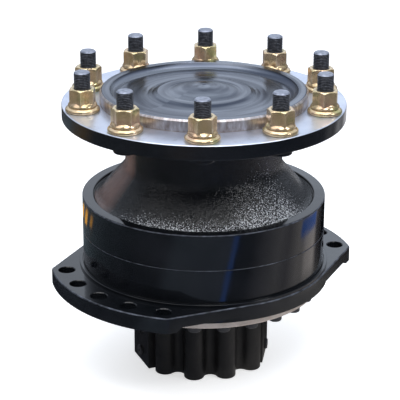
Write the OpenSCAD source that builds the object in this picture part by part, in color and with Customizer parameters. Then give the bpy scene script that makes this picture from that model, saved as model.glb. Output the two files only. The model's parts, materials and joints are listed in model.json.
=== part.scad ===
// Radial-piston hydraulic wheel motor with a studded wheel flange.
// Millimetres. +Z is the shaft axis, towards the wheel flange. The origin is the centre of the rear end face,
// on which the motor stands. The chassis lugs lie along X.

/* [Wheel flange] */
// Height of the stud tips above the rear end face
overall_h = 426; // [422:1:432]
// Diameter of the wheel flange
wheel_flange_d = 383.4; // [380:0.2:388]
// Thickness of the wheel flange
wheel_flange_t = 20; // [18:0.5:22]
// Length of a stud from the wheel face to its tip
stud_reach = 54; // [52:1:58]
// Diameter of the wheel pilot
pilot_d = 280.8; // [278:0.2:282]
// Height of the pilot above the wheel face
pilot_h = 16.6; // [15:0.2:18]
// Number of wheel studs
stud_count = 10; // [8:1:12]
// Pitch circle of the wheel studs
stud_pcd = 335; // [332:1:338]
// Thread diameter of a wheel stud
stud_d = 22; // [20:1:22]
// Angle of the first stud at rest
stud_start = 9; // [0:1:35]

/* [Housing] */
// Radius of the round body
body_r = 166.4; // [165:0.2:168]
// Radius of the neck under the wheel flange
neck_r = 107; // [106:0.5:109]
// Height of the body's front shoulder
shoulder_z = 242; // [240:1:244]
// Height of the joint between bearing housing and cam ring
cam_top_z = 193; // [190:1:195]
// Thickness of the cam ring
cam_t = 46; // [45:1:47]

/* [Chassis flange] */
// Thickness of the lugs
lug_t = 22; // [20:1:24]
// Height of the raised seat of the cam ring above the lugs
seat_rise = 3.5; // [2.5:0.5:4]
// Radius of the raised seat of the cam ring
seat_r = 172; // [170:0.5:172]
// Radius over the lugs
lug_r = 212; // [210:1:215]
// Radius of the flange between the lugs
waist_r = 173.5; // [172:0.5:175]
// Half angle of a lug
lug_half_angle = 34.5; // [33.5:0.5:35.5]
// Pitch circle of the chassis holes
lug_pcd = 385; // [384:1:386]
// Diameter of a chassis hole
lug_hole_d = 22; // [20:0.5:23]
// Angle between neighbouring chassis holes
lug_hole_step = 15; // [15:0.5:15.5]
// Radius of the chassis spigot
spigot_r = 160; // [159:0.5:162]
// Depth of the chassis spigot
spigot_t = 13.5; // [13:0.5:14.5]

/* [Rear cover] */
// Number of screw lobes round the rear cover
lobe_count = 12; // [12]
// Angle of the first lobe
lobe_start = 7.5; // [0:0.5:15]
// Radius of a lobe
lobe_r = 14; // [13.5:0.5:14.5]
// Pitch radius of the lobes
lobe_pitch_r = 84; // [83:0.5:85]
// Radius at the bottom of the valleys
valley_r = 79; // [78:0.5:80]
// Height of the main ports above the rear face
port_z = 58; // [50:1:66]
// Wall radius of a main port's thread
port_r = 15.5; // [14:0.5:16]
// Wall radius of the drain port's thread
drain_r = 10.2; // [9:0.1:11]

/* [Piston group] */
// Number of pistons
piston_count = 8; // [8]
// Number of lobes on the cam
cam_lobes = 6; // [6]
// Mean radius of the cam track
cam_mean_r = 123; // [122:0.5:124]
// Half the piston stroke
cam_rise = 8; // [7:0.5:8]
// Radius of a piston
piston_r = 21; // [20:0.5:21]
// Radius of a piston roller
roller_r = 13; // [12:0.5:13]

/* [Hidden] */
$fn = 96;
slot_gap = 0.1;                 // between pieces that are assembled hand tight
oil_gap = 0.3;                  // between pieces that run past each other in oil
fit_gap = 0.05;                 // radial clearance of a running fit
over = 1;                       // how far a cutter runs past a face

wheel_face_z = overall_h - stud_reach;
wheel_back_z = wheel_face_z - wheel_flange_t;
pilot_top_z = wheel_face_z + pilot_h;
wheel_flange_r = wheel_flange_d / 2;
pilot_r = pilot_d / 2;
stud_r = stud_d / 2;

cam_bottom_z = cam_top_z - cam_t;
lug_top_z = cam_bottom_z - seat_rise;
lug_bottom_z = lug_top_z - lug_t;
spigot_bottom_z = lug_bottom_z - spigot_t;

// Housing screws, from the spigot's underside up into the bearing housing.
housing_screw_count = 24;
housing_screw_start = 11.25;
housing_screw_pitch_r = 148;
housing_screw_r = 6;
housing_screw_head_r = 9;
housing_screw_head_h = 12;
housing_screw_sink = 4;
housing_screw_seat_z = spigot_bottom_z + housing_screw_sink;
housing_screw_top_z = cam_top_z + 34;

// Cover screws run up through the lobes. Some lobes are flat port pads instead: each has a lobe number and
// the distance of its face from the axis.
cover_screw_r = 7;
cover_screw_head_r = 10.5;
cover_screw_head_h = 14;
cover_screw_sink = 15;
pads = [[1, 91.5], [3, 91.5], [5, 93], [10, 88.5]];
pad_half_w = 29;
pad_h = spigot_bottom_z - 4;
main_port_pads = [pads[0], pads[1]];
drain_pad = pads[2];

// Levels inside.
housing_top_z = wheel_back_z - 4;
seal_land_r = 78;
front_journal_r = 66;
front_cup_r = 95;
front_bearing_z = 301;
front_bearing_w = 38;
seal_land_z = front_bearing_z + front_bearing_w;
rear_journal_r = 50;
nut_journal_r = 48;
waist_shaft_r = 58;
rear_cup_r = 86;
rear_bearing_z = 208;
rear_bearing_w = 36;
rib_r = 79;
chamber_r = 114;
chamber_top_z = 207;
block_r = 109;
block_bottom_z = lug_bottom_z + 2.5;
block_top_z = 198;
piston_z = (cam_top_z + cam_bottom_z) / 2;
bore_bottom_r = 62;
floor_top_z = lug_bottom_z - 0.5;
floor_bore_r = 74;
distributor_r = 60;
distributor_bore_r = 28;
distributor_disc_r = 72;
distributor_bottom_z = 26;
shaft_end_z = 128;
spline_root_r = 40;
spline_tip_r = 44;
spline_teeth = 24;

// Piston group: the roller's centre at rest, with the piston pushed fully in.
cam_min_r = cam_mean_r - cam_rise;
roller_pitch_r = cam_min_r - roller_r - 1.2;
roller_len = 32;
piston_crown = 2.5;             // crown beyond the roller's centre, which holds the roller in
bush_t = 1.5;
cam_phase = 7.5;

function polar(r, a) = [r * cos(a), r * sin(a)];
function arc(c, r, from, to, n = 8) = [for (i = [0:n]) c + polar(r, from + (to - from) * i / n)];

module ring_of(count, r, start = 0) {
    for (i = [0:count - 1]) rotate(start + i * 360 / count) translate([r, 0, 0]) children();
}

module tube(r_out, r_in, z, h) {
    translate([0, 0, z]) difference() {
        cylinder(r = r_out, h = h);
        translate([0, 0, -over]) cylinder(r = r_in, h = h + 2 * over);
    }
}

// A square groove cut down into a face at height z, opening upwards or downwards.
module face_groove(r_mid, w, depth, z, up = true) {
    translate([0, 0, up ? z - depth : z - over]) difference() {
        cylinder(r = r_mid + w / 2, h = depth + over);
        translate([0, 0, -over]) cylinder(r = r_mid - w / 2, h = depth + 3 * over);
    }
}

// ---------------------------------------------------------------- stationary casings

// The flare runs from the straight neck through a hollow into the shoulder.
flare_angle = 41;
flare_top_r = 22;
flare_foot_r = 26;
flare_foot = [149.6, shoulder_z - 3];
flare_foot_turn = 24;
function flare() =
    let (steep = flare_angle, flat = flare_angle + flare_foot_turn,
         foot_c = flare_foot - polar(flare_foot_r, 180 + flat),
         foot_top = foot_c + polar(flare_foot_r, 180 + steep),
         // where the straight run meets the hollow at the neck
         top_c_r = neck_r + flare_top_r,
         top_end_r = top_c_r - flare_top_r * cos(steep),
         rise = (foot_top[0] - top_end_r) / tan(steep),
         top_c = [top_c_r, foot_top[1] + rise + flare_top_r * sin(steep)])
    concat(arc(top_c, flare_top_r, 180, 180 + steep, 8),
           arc(foot_c, flare_foot_r, 180 + steep, 180 + flat, 8));

module bearing_housing() {
    ring_in = 151.4;
    edge = 1.2;
    outline = concat(
        [[front_cup_r + 1.5, housing_top_z], [neck_r - 2, housing_top_z], [neck_r, housing_top_z - 2]],
        flare(),
        [[ring_in - 0.6, shoulder_z - 4], [ring_in, shoulder_z - 3.4], [ring_in, shoulder_z - 0.8],
         [ring_in + 0.8, shoulder_z], [body_r - edge, shoulder_z], [body_r, shoulder_z - edge],
         [body_r, cam_top_z + 0.6], [body_r - 0.6, cam_top_z],
         [chamber_r, cam_top_z], [chamber_r, chamber_top_z], [rear_cup_r + 6, chamber_top_z],
         [rear_cup_r, chamber_top_z + 1], [rear_cup_r, rear_bearing_z + rear_bearing_w + slot_gap],
         [rib_r, rear_bearing_z + rear_bearing_w + slot_gap], [rib_r, front_bearing_z - slot_gap],
         [front_cup_r, front_bearing_z - slot_gap], [front_cup_r, housing_top_z - 1.5]]);
    color([0.05, 0.05, 0.06]) difference() {
        rotate_extrude() polygon(outline);
        face_groove(joint_seal_r, 4.4, 2.8, cam_top_z, false);
        ring_of(housing_screw_count, housing_screw_pitch_r, housing_screw_start)
            translate([0, 0, cam_top_z - over])
                cylinder(r = housing_screw_r + slot_gap, h = housing_screw_top_z + 3 - cam_top_z + over);
    }
}

function cam_r(a) = cam_mean_r + cam_rise * cos(cam_lobes * (a - cam_phase));

module cam_ring() {
    steps = 240;
    edge = 0.6;
    color([0.06, 0.06, 0.07]) difference() {
        rotate_extrude() polygon([[cam_min_r - 2, cam_bottom_z], [body_r - edge, cam_bottom_z],
            [body_r, cam_bottom_z + edge], [body_r, cam_top_z - edge], [body_r - edge, cam_top_z],
            [cam_min_r - 2, cam_top_z]]);
        translate([0, 0, cam_bottom_z - over]) linear_extrude(cam_t + 2 * over)
            polygon([for (i = [0:steps - 1]) polar(cam_r(i * 360 / steps), i * 360 / steps)]);
        ring_of(housing_screw_count, housing_screw_pitch_r, housing_screw_start)
            translate([0, 0, cam_bottom_z - over])
                cylinder(r = housing_screw_r + slot_gap, h = cam_t + 2 * over);
    }
}

// Outline of the chassis flange: two round-ended lugs joined by tangents to a round waist.
lug_corner_r = 8;
function lug_outline() =
    let (c_r = lug_r - lug_corner_r,
         c_a = lug_half_angle - asin(lug_corner_r / c_r),
         // the tangent that both the waist and the corner round touch
         lean = acos((waist_r - lug_corner_r) / c_r),
         touch_a = c_a + lean)
    [for (side = [0, 180]) each concat(
        [polar(waist_r, side - touch_a)],
        arc(polar(c_r, side - c_a), lug_corner_r, side - touch_a, side - c_a, 6),
        [for (i = [1:17]) polar(lug_r, side - c_a + 2 * c_a * i / 18)],
        arc(polar(c_r, side + c_a), lug_corner_r, side + c_a, side + touch_a, 6),
        [polar(waist_r, side + touch_a)])];

module mounting_flange() {
    edge = 1.5;
    color([0.06, 0.06, 0.07]) difference() {
        union() {
            translate([0, 0, lug_bottom_z]) linear_extrude(lug_t) polygon(lug_outline());
            translate([0, 0, lug_bottom_z]) cylinder(r = waist_r, h = lug_t);
            translate([0, 0, lug_bottom_z]) cylinder(r = seat_r, h = lug_t + seat_rise);
            rotate_extrude() polygon([[floor_bore_r - 2, spigot_bottom_z], [spigot_r - edge, spigot_bottom_z],
                [spigot_r, spigot_bottom_z + edge], [spigot_r, lug_bottom_z + over],
                [floor_bore_r - 2, lug_bottom_z + over]]);
        }
        translate([0, 0, floor_top_z]) cylinder(r = chamber_r, h = lug_t + seat_rise + 2 * over);
        translate([0, 0, spigot_bottom_z - over]) cylinder(r = floor_bore_r, h = spigot_t + 3 * over);
        face_groove(joint_seal_r, 4.4, 2.8, cam_bottom_z);
        for (side = [0, 180], i = [-2:2]) rotate(side + i * lug_hole_step)
            translate([lug_pcd / 2, 0, lug_bottom_z - over]) cylinder(d = lug_hole_d, h = lug_t + 2 * over);
        ring_of(housing_screw_count, housing_screw_pitch_r, housing_screw_start)
            translate([0, 0, spigot_bottom_z - over]) {
                cylinder(r = housing_screw_r + slot_gap, h = lug_t + spigot_t + seat_rise + 2 * over);
                cylinder(r = housing_screw_head_r + 0.5, h = housing_screw_sink + over);
            }
        cover_screw_places() translate([0, 0, spigot_bottom_z - over])
            cylinder(r = cover_screw_r + slot_gap, h = spigot_t + 2 * over);
    }
}

function is_pad(i) = len([for (p = pads) if (p[0] == i) p]) > 0;

module cover_screw_places() {
    for (i = [0:lobe_count - 1]) if (!is_pad(i)) at_lobe(i) translate([lobe_pitch_r, 0, 0]) children();
}

// The valleys between lobes are round, and touch both neighbours smoothly.
half_pitch = 180 / lobe_count;
valley_cut_r = (pow(lobe_pitch_r, 2) + pow(valley_r, 2) - 2 * lobe_pitch_r * valley_r * cos(half_pitch)
                - pow(lobe_r, 2)) / (2 * (lobe_r + lobe_pitch_r * cos(half_pitch) - valley_r));
valley_pitch_r = valley_r + valley_cut_r;
function cover_outline() =
    let (reach = polar(valley_pitch_r, half_pitch) - [lobe_pitch_r, 0],
         turn = atan2(reach[1], reach[0]))
    [for (i = [0:lobe_count - 1]) let (a = lobe_start + 2 * half_pitch * i) each concat(
        arc(polar(lobe_pitch_r, a), lobe_r, a - turn, a + turn, 10),
        [for (k = [1:4]) polar(valley_pitch_r, a + half_pitch)
            + polar(valley_cut_r, 180 + a + turn + 2 * (half_pitch - turn) * k / 5)])];

module at_lobe(i) {
    rotate(lobe_start + i * 360 / lobe_count) children();
}

// A radial hole from r_from outwards at height z.
module radial_hole(r, r_from, z, r_to = 120) {
    translate([r_from, 0, z]) rotate([0, 90, 0]) cylinder(r = r, h = r_to - r_from);
}

rear_wall = 22;
rear_recess_r = 46;
pad_root_r = 70;
spot_depth = 1;
port_spot_r = 22;
port_feed_r = 6;
drain_spot_r = 16;
drain_feed_r = 4;
drain_feed_pitch_r = 68.5;
module rear_cover() {
    color([0.05, 0.05, 0.055]) difference() {
        union() {
            difference() {
                linear_extrude(spigot_bottom_z) polygon(cover_outline());
                // the lobes under the pads are cut back to the pads' flat faces
                for (p = pads) at_lobe(p[0])
                    translate([p[1], -pad_half_w - 11, -over])
                        cube([20, 2 * pad_half_w + 22, spigot_bottom_z + 2 * over]);
            }
            for (p = pads) at_lobe(p[0])
                translate([pad_root_r, -pad_half_w, 0]) cube([p[1] - pad_root_r, 2 * pad_half_w, pad_h]);
            translate([0, 0, spigot_bottom_z - over]) cylinder(r = floor_bore_r - slot_gap, h = 5 + over);
        }
        translate([0, 0, rear_wall]) cylinder(r = distributor_r + slot_gap, h = 120);
        translate([0, 0, -over]) cylinder(r = rear_recess_r, h = 2 + over);
        face_groove(cover_seal_r, 3.2, 2.2, spigot_bottom_z);
        cover_screw_places() translate([0, 0, -over]) {
            cylinder(r = cover_screw_r + slot_gap, h = 130);
            cylinder(r = cover_screw_head_r + 0.3, h = cover_screw_sink + over);
        }
        // each main port opens into its own oil groove round the distributor
        for (i = [0:1]) at_lobe(main_port_pads[i][0]) {
            radial_hole(port_r, 69, port_z);
            radial_hole(port_feed_r, 50, oil_groove_z[i] + oil_groove_h / 2, 72);
            radial_hole(port_spot_r, main_port_pads[i][1] - spot_depth, port_z);
        }
        at_lobe(drain_pad[0]) {
            radial_hole(drain_r, 74, port_z);
            radial_hole(drain_spot_r, drain_pad[1] - spot_depth, port_z);
            radial_hole(drain_feed_r + 1, 62.5, port_z, 80);
            translate([drain_feed_pitch_r, 0, port_z]) cylinder(r = drain_feed_r, h = 120);
        }
        for (p = plug_places) at_lobe(p[0]) radial_hole(plug_r, 78, p[2]);
        translate([pin_pitch_r, 0, rear_wall - 10]) cylinder(r = pin_r + fit_gap, h = 20);
    }
}

// ---------------------------------------------------------------- screws and plugs

module socket_screw(r, length, head_r, head_h, key) {
    difference() {
        union() {
            cylinder(r = r, h = length);
            translate([0, 0, -head_h]) cylinder(r = head_r, h = head_h);
        }
        translate([0, 0, -head_h - over]) cylinder(d = key / cos(30), h = head_h * 0.6 + over, $fn = 6);
        translate([0, 0, length]) difference() {
            translate([0, 0, -1]) cylinder(r = r + over, h = 1 + over);
            translate([0, 0, -1]) cylinder(r1 = r, r2 = r - 1, h = 1);
        }
    }
}

module housing_screws() {
    color([0.08, 0.08, 0.09]) ring_of(housing_screw_count, housing_screw_pitch_r, housing_screw_start)
        translate([0, 0, housing_screw_seat_z])
            socket_screw(housing_screw_r, housing_screw_top_z - housing_screw_seat_z, housing_screw_head_r,
                         housing_screw_head_h, 10);
}

module cover_screws() {
    color([0.08, 0.08, 0.09]) cover_screw_places() translate([0, 0, cover_screw_sink])
        socket_screw(cover_screw_r, floor_top_z - 1 - cover_screw_sink, cover_screw_head_r,
                     cover_screw_head_h, 12);
}

module flanged_plug(r, reach, flange_r, flange_t, key) {
    rotate([0, 90, 0]) difference() {
        union() {
            translate([0, 0, -reach]) cylinder(r = r, h = reach);
            cylinder(r = flange_r, h = flange_t - 1);
            translate([0, 0, flange_t - 1]) cylinder(r1 = flange_r, r2 = flange_r - 1, h = 1);
        }
        translate([0, 0, -reach * 0.4]) cylinder(d = key / cos(30), h = reach, $fn = 6);
    }
}

// Each plug: its pad's lobe number, the distance of the pad's face from the axis, and its height.
plug_z = 17;
plug_r = 5;
plug_places = concat([for (p = pads) [p[0], p[1], plug_z]], [[pads[3][0], pads[3][1], plug_z + 60]]);
module cover_plugs() {
    color([0.1, 0.1, 0.11]) for (p = plug_places) at_lobe(p[0])
        translate([p[1], 0, p[2]]) flanged_plug(plug_r - slot_gap, 9, 7.5, 3.5, 5);
}

// ---------------------------------------------------------------- distributor

oil_groove_z = [40, 64];
oil_groove_h = 12;
seal_groove_z = [33, 56, 80];
seal_groove_h = 4;
pin_pitch_r = 34;
pin_r = 4;
passage_r = 4;
passage_pitch_r = 52;
module distributor() {
    disc_z = spigot_bottom_z + 6.4;
    face_z = block_bottom_z - oil_gap;
    color([0.55, 0.56, 0.58]) difference() {
        rotate_extrude() polygon([[distributor_bore_r, distributor_bottom_z],
            [distributor_r - 1, distributor_bottom_z], [distributor_r, distributor_bottom_z + 1],
            [distributor_r, disc_z],
            [distributor_disc_r, disc_z], [distributor_disc_r, face_z], [distributor_bore_r, face_z]]);
        for (z = oil_groove_z) tube(distributor_r + over, distributor_r - 7, z, oil_groove_h);
        for (z = seal_groove_z) tube(distributor_r + over, distributor_r - 3, z, seal_groove_h);
        // passages lead in turn to the two oil grooves
        for (i = [0:2 * cam_lobes - 1]) rotate(i * 180 / cam_lobes)
            translate([passage_pitch_r, 0, oil_groove_z[i % 2] + 6]) cylinder(r = passage_r, h = 100);
        translate([pin_pitch_r, 0, distributor_bottom_z - over]) cylinder(r = pin_r + oil_gap, h = 7 + over);
    }
}

module distributor_spring() {
    thick = 2;
    outer_r = distributor_r - 4;
    inner_r = pin_pitch_r + pin_r + 0.5;
    color([0.35, 0.36, 0.38]) rotate_extrude() polygon([[inner_r, rear_wall], [outer_r, rear_wall + 1.6],
        [outer_r, rear_wall + 1.6 + thick], [inner_r, rear_wall + thick]]);
}

module distributor_pin() {
    color([0.6, 0.6, 0.62]) translate([pin_pitch_r, 0, rear_wall - 9.5]) cylinder(r = pin_r, h = 20);
}

// ---------------------------------------------------------------- seals of the casings and the shaft

module torus(r, section_r, z) {
    translate([0, 0, z]) rotate_extrude() translate([r, 0]) circle(r = section_r);
}

joint_seal_r = 136.3;
cover_seal_r = 76;
module static_seals() {
    color([0.03, 0.03, 0.03]) {
        torus(joint_seal_r, 1.35, cam_top_z + 1.4);
        torus(joint_seal_r, 1.35, cam_bottom_z - 1.4);
        torus(cover_seal_r, 1.05, spigot_bottom_z - 1.1);
        for (z = seal_groove_z)
            tube(distributor_r + 0.02, distributor_r - 2.9, z + 0.2, seal_groove_h - 0.4);
    }
}

module shaft_lip_seal() {
    z0 = seal_land_z + 0.4;
    z1 = housing_top_z - 1;
    color([0.12, 0.1, 0.09]) rotate_extrude() polygon([
        [front_cup_r - slot_gap, z0], [front_cup_r - slot_gap, z1], [seal_land_r + 6, z1],
        [seal_land_r + oil_gap, z1 - 1], [seal_land_r + oil_gap, z1 - 3],
        [seal_land_r + 3, z1 - 3.5], [seal_land_r + 3, z0 + 2.5], [seal_land_r + 7, z0 + 2.5],
        [seal_land_r + 7, z0]]);
}

module dust_seal() {
    z0 = housing_top_z + oil_gap;
    color([0.04, 0.04, 0.04]) rotate_extrude() polygon([[seal_land_r + 4.5, z0 + 0.6],
        [seal_land_r + 4.5, wheel_back_z - 0.1], [seal_land_r + 14, wheel_back_z - 0.1],
        [seal_land_r + 22, z0], [seal_land_r + 19, z0], [seal_land_r + 12, wheel_back_z - 2.2]]);
}

// ---------------------------------------------------------------- wheel flange, studs and nuts

module spline_teeth_2d(grow) {
    for (i = [0:spline_teeth - 1]) rotate(i * 360 / spline_teeth)
        polygon([[spline_root_r - 3, -3.2 - grow], [spline_tip_r + grow, -2.2 - grow],
                 [spline_tip_r + grow, 2.2 + grow], [spline_root_r - 3, 3.2 + grow]]);
}

// The turned face inside the pilot: rim, trough, ring and domed centre.
rim_in_r = 127;
ring_out_r = 62;
ring_in_r = 49.5;
dome_rise = 5.4;
dome_foot = pilot_top_z - 4.4;
function dome(n) = [for (i = [0:n]) let (r = ring_in_r - (ring_in_r - 3) * i / n)
    [r, dome_foot + (dome_rise + 4.4) * (1 - pow(r / ring_in_r, 2))]];
function turned_face() = concat(
    [[rim_in_r, pilot_top_z]],
    arc([rim_in_r - 14, pilot_top_z + 8.4], 16.2, -28, -75, 6),
    [[100, pilot_top_z - 8], [80, pilot_top_z - 8], [71, pilot_top_z - 7], [65, pilot_top_z - 4.6],
     [ring_out_r, pilot_top_z - 3.2], [ring_in_r + 1, pilot_top_z - 3.2], [ring_in_r, pilot_top_z - 4]],
    dome(8),
    [[0, pilot_top_z + 2.4]]);

module wheel_flange_shaft() {
    edge = 1;
    color([0.5, 0.51, 0.54]) difference() {
        union() {
            rotate_extrude() polygon(concat(
                [[0, block_top_z + 1], [nut_journal_r - 1, block_top_z + 1], [nut_journal_r, block_top_z + 2],
                 [nut_journal_r, rear_bearing_z], [rear_journal_r - 1, rear_bearing_z],
                 [rear_journal_r, rear_bearing_z + 1], [rear_journal_r, 252], [waist_shaft_r, 254],
                 [waist_shaft_r, 296], [front_journal_r, 299], [front_journal_r, seal_land_z],
                 [seal_land_r - 1, seal_land_z], [seal_land_r, seal_land_z + 1],
                 [seal_land_r, wheel_back_z - 4], [seal_land_r + 4, wheel_back_z],
                 [wheel_flange_r - edge, wheel_back_z], [wheel_flange_r, wheel_back_z + edge],
                 [wheel_flange_r, wheel_face_z - edge], [wheel_flange_r - edge, wheel_face_z],
                 [pilot_r - 0.8, wheel_face_z], [pilot_r - 0.8, wheel_face_z + 2.4],
                 [pilot_r, wheel_face_z + 3], [pilot_r, pilot_top_z - 3], [pilot_r - 2.7, pilot_top_z]],
                turned_face()));
            translate([0, 0, shaft_end_z]) linear_extrude(block_top_z + 1.5 - shaft_end_z) union() {
                circle(r = spline_root_r);
                spline_teeth_2d(0);
            }
        }
        ring_of(stud_count, stud_pcd / 2, stud_start) translate([0, 0, wheel_back_z - over])
            cylinder(r = knurl_r + 0.1, h = wheel_flange_t + 2 * over);
    }
}

// A stud is pressed in by its knurl. Its thread is drawn at the pitch radius where the nut holds it, and at
// the crest radius beyond the nut.
knurl_r = stud_r + 0.5;
held_thread_r = stud_r - 0.5;
stud_head_r = 16;
stud_head_h = 8;
module wheel_studs() {
    tip = 2;
    color([0.16, 0.17, 0.2]) ring_of(stud_count, stud_pcd / 2, stud_start) {
        translate([0, 0, wheel_back_z - stud_head_h]) cylinder(r1 = stud_head_r - 1, r2 = stud_head_r, h = 1);
        translate([0, 0, wheel_back_z - stud_head_h + 1]) cylinder(r = stud_head_r, h = stud_head_h - 1);
        translate([0, 0, wheel_back_z - 1]) cylinder(r = knurl_r, h = wheel_flange_t);
        translate([0, 0, wheel_face_z - 2]) cylinder(r = held_thread_r, h = nut_top_z + 2.5 - wheel_face_z);
        translate([0, 0, nut_top_z]) cylinder(r = stud_r, h = overall_h - tip - nut_top_z);
        translate([0, 0, overall_h - tip]) cylinder(r1 = stud_r, r2 = stud_r - tip, h = tip);
    }
}

washer_r = 23.2;
washer_t = 7.5;
nut_af = 32;
nut_skirt_r = 19.4;
nut_skirt_t = 4.5;
nut_top_z = wheel_face_z + 32;
nut_seat_z = wheel_face_z + washer_t;
module nut_washers() {
    color([0.72, 0.6, 0.4]) ring_of(stud_count, stud_pcd / 2, stud_start) translate([0, 0, wheel_face_z])
        rotate_extrude() polygon(concat([[stud_r + 0.6, 0], [washer_r - 1, 0]],
            arc([washer_r - 2.2, 2.4], 2.2, -50, 60, 5),
            [[nut_skirt_r - 0.2, washer_t - 0.4], [nut_skirt_r - 1, washer_t], [stud_r + 0.6, washer_t]]));
}

module wheel_nuts() {
    hex_z = nut_seat_z + nut_skirt_t;
    color([0.74, 0.62, 0.4]) ring_of(stud_count, stud_pcd / 2, stud_start) difference() {
        union() {
            intersection() {
                translate([0, 0, hex_z - 1]) rotate(30)
                    cylinder(d = nut_af / cos(30), h = nut_top_z - hex_z + 1, $fn = 6);
                // the 30 degree chamfer of the hexagon's top
                translate([0, 0, nut_top_z - 20])
                    cylinder(r1 = nut_af / 2 - 1 + 20 / tan(30), r2 = nut_af / 2 - 1, h = 20);
            }
            translate([0, 0, nut_seat_z]) rotate_extrude() polygon([[0, 0], [nut_skirt_r - 0.8, 0],
                [nut_skirt_r, 0.8], [nut_skirt_r, 2.4], [nut_af / 2 - 0.2, nut_skirt_t + 1.2],
                [0, nut_skirt_t + 1.2]]);
        }
        translate([0, 0, nut_seat_z - over]) cylinder(r = held_thread_r + 0.1, h = 60);
        translate([0, 0, nut_top_z - 1.4]) cylinder(r1 = held_thread_r + 0.1, r2 = stud_r + 2, h = 1.5);
    }
}

// ---------------------------------------------------------------- taper roller bearings

// The lines of a bearing's rollers and races all meet at one point on the axis.
// dir is 1 where the wide end points up.
roller_axis_angle = 10;
module taper_bearing_cone(bore_r, mid_r, thick_r, z, w, dir) {
    slope = roller_axis_angle - bearing_taper(mid_r, thick_r);
    race = mid_r - thick_r / cos(slope) - fit_gap;
    small_lip = 3;
    big_lip = 2.6;
    translate([0, 0, z + w / 2]) mirror([0, 0, dir > 0 ? 0 : 1]) rotate_extrude() polygon([
        [bore_r + fit_gap / 2, -w / 2], [race_at(race, slope, -w / 2) + 1, -w / 2],
        [race_at(race, slope, -w / 2) + 1, -w / 2 + small_lip],
        [race_at(race, slope, small_lip - w / 2), -w / 2 + small_lip],
        [race_at(race, slope, w / 2 - big_lip), w / 2 - big_lip],
        [race_at(race, slope, w / 2) + 3, w / 2 - big_lip], [race_at(race, slope, w / 2) + 3, w / 2],
        [bore_r + fit_gap / 2, w / 2]]);
}

// Radius of a race line at height h above the bearing's middle.
function race_at(race, slope, h) = race + h * tan(slope);

function bearing_taper(mid_r, thick_r) = atan(thick_r * sin(roller_axis_angle) / mid_r);

module taper_bearing_cup(outer_r, mid_r, thick_r, z, w, dir) {
    slope = roller_axis_angle + bearing_taper(mid_r, thick_r);
    race = mid_r + thick_r / cos(slope) + fit_gap;
    edge = 1;
    translate([0, 0, z + w / 2]) mirror([0, 0, dir > 0 ? 0 : 1]) rotate_extrude() polygon([
        [race_at(race, slope, edge - w / 2), -w / 2 + edge],
        [race_at(race, slope, edge - w / 2) + edge, -w / 2],
        [outer_r - fit_gap, -w / 2], [outer_r - fit_gap, w / 2 - edge], [outer_r - edge, w / 2],
        [race_at(race, slope, w / 2), w / 2]]);
}

module taper_roller(mid_r, thick_r, length, grow = 0) {
    taper = length / 2 * tan(bearing_taper(mid_r, thick_r));
    translate([mid_r, 0, 0]) rotate([0, roller_axis_angle, 0]) translate([0, 0, -length / 2 - grow])
        cylinder(r1 = thick_r - taper + grow, r2 = thick_r + taper + grow, h = length + 2 * grow);
}

module taper_rollers(mid_r, thick_r, length, count, z, w, dir) {
    translate([0, 0, z + w / 2]) mirror([0, 0, dir > 0 ? 0 : 1])
        ring_of(count, 0) taper_roller(mid_r, thick_r, length);
}

module taper_cage(mid_r, thick_r, length, count, z, w, dir) {
    h = length + 5;
    lean = h / 2 * tan(roller_axis_angle);
    translate([0, 0, z + w / 2]) mirror([0, 0, dir > 0 ? 0 : 1]) difference() {
        rotate_extrude() polygon([[mid_r - 0.9 - lean, -h / 2], [mid_r + 0.9 - lean, -h / 2],
            [mid_r + 0.9 + lean, h / 2], [mid_r - 0.9 + lean, h / 2]]);
        ring_of(count, 0) taper_roller(mid_r, thick_r, length, 0.5);
    }
}

front_roller = [81, 7.4, 27, 28];   // pitch radius, roller radius, length, number
rear_roller = [69, 8.4, 25, 22];

module front_bearing_cup() {
    color([0.62, 0.63, 0.66])
        taper_bearing_cup(front_cup_r, front_roller[0], front_roller[1], front_bearing_z, front_bearing_w, 1);
}

module front_bearing_cone() {
    color([0.62, 0.63, 0.66])
        taper_bearing_cone(front_journal_r, front_roller[0], front_roller[1], front_bearing_z,
                           front_bearing_w, 1);
}

module front_bearing_rollers() {
    color([0.7, 0.71, 0.74])
        taper_rollers(front_roller[0], front_roller[1], front_roller[2], front_roller[3], front_bearing_z,
                      front_bearing_w, 1);
}

module front_bearing_cage() {
    color([0.45, 0.46, 0.48])
        taper_cage(front_roller[0], front_roller[1], front_roller[2], front_roller[3], front_bearing_z,
                   front_bearing_w, 1);
}

module rear_bearing_cup() {
    color([0.62, 0.63, 0.66])
        taper_bearing_cup(rear_cup_r, rear_roller[0], rear_roller[1], rear_bearing_z, rear_bearing_w, -1);
}

module rear_bearing_cone() {
    color([0.62, 0.63, 0.66])
        taper_bearing_cone(rear_journal_r, rear_roller[0], rear_roller[1], rear_bearing_z,
                           rear_bearing_w, -1);
}

module rear_bearing_rollers() {
    color([0.7, 0.71, 0.74])
        taper_rollers(rear_roller[0], rear_roller[1], rear_roller[2], rear_roller[3], rear_bearing_z,
                      rear_bearing_w, -1);
}

module rear_bearing_cage() {
    color([0.45, 0.46, 0.48])
        taper_cage(rear_roller[0], rear_roller[1], rear_roller[2], rear_roller[3], rear_bearing_z,
                   rear_bearing_w, -1);
}

// The nut that sets the bearings' preload, and its tab washer.
lock_washer_t = 1.6;
lock_washer_z = rear_bearing_z - lock_washer_t - slot_gap;
bearing_nut_z = block_top_z + 1.4;
module bearing_nut() {
    color([0.25, 0.25, 0.27]) difference() {
        tube(60, nut_journal_r + slot_gap, bearing_nut_z, lock_washer_z - slot_gap - bearing_nut_z);
        ring_of(6, 60) translate([-3, -3, block_top_z]) cube([6, 6, 12]);
    }
}

module nut_lock_washer() {
    color([0.5, 0.5, 0.52]) tube(57, nut_journal_r + slot_gap, lock_washer_z, lock_washer_t);
}

// ---------------------------------------------------------------- piston group

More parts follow.
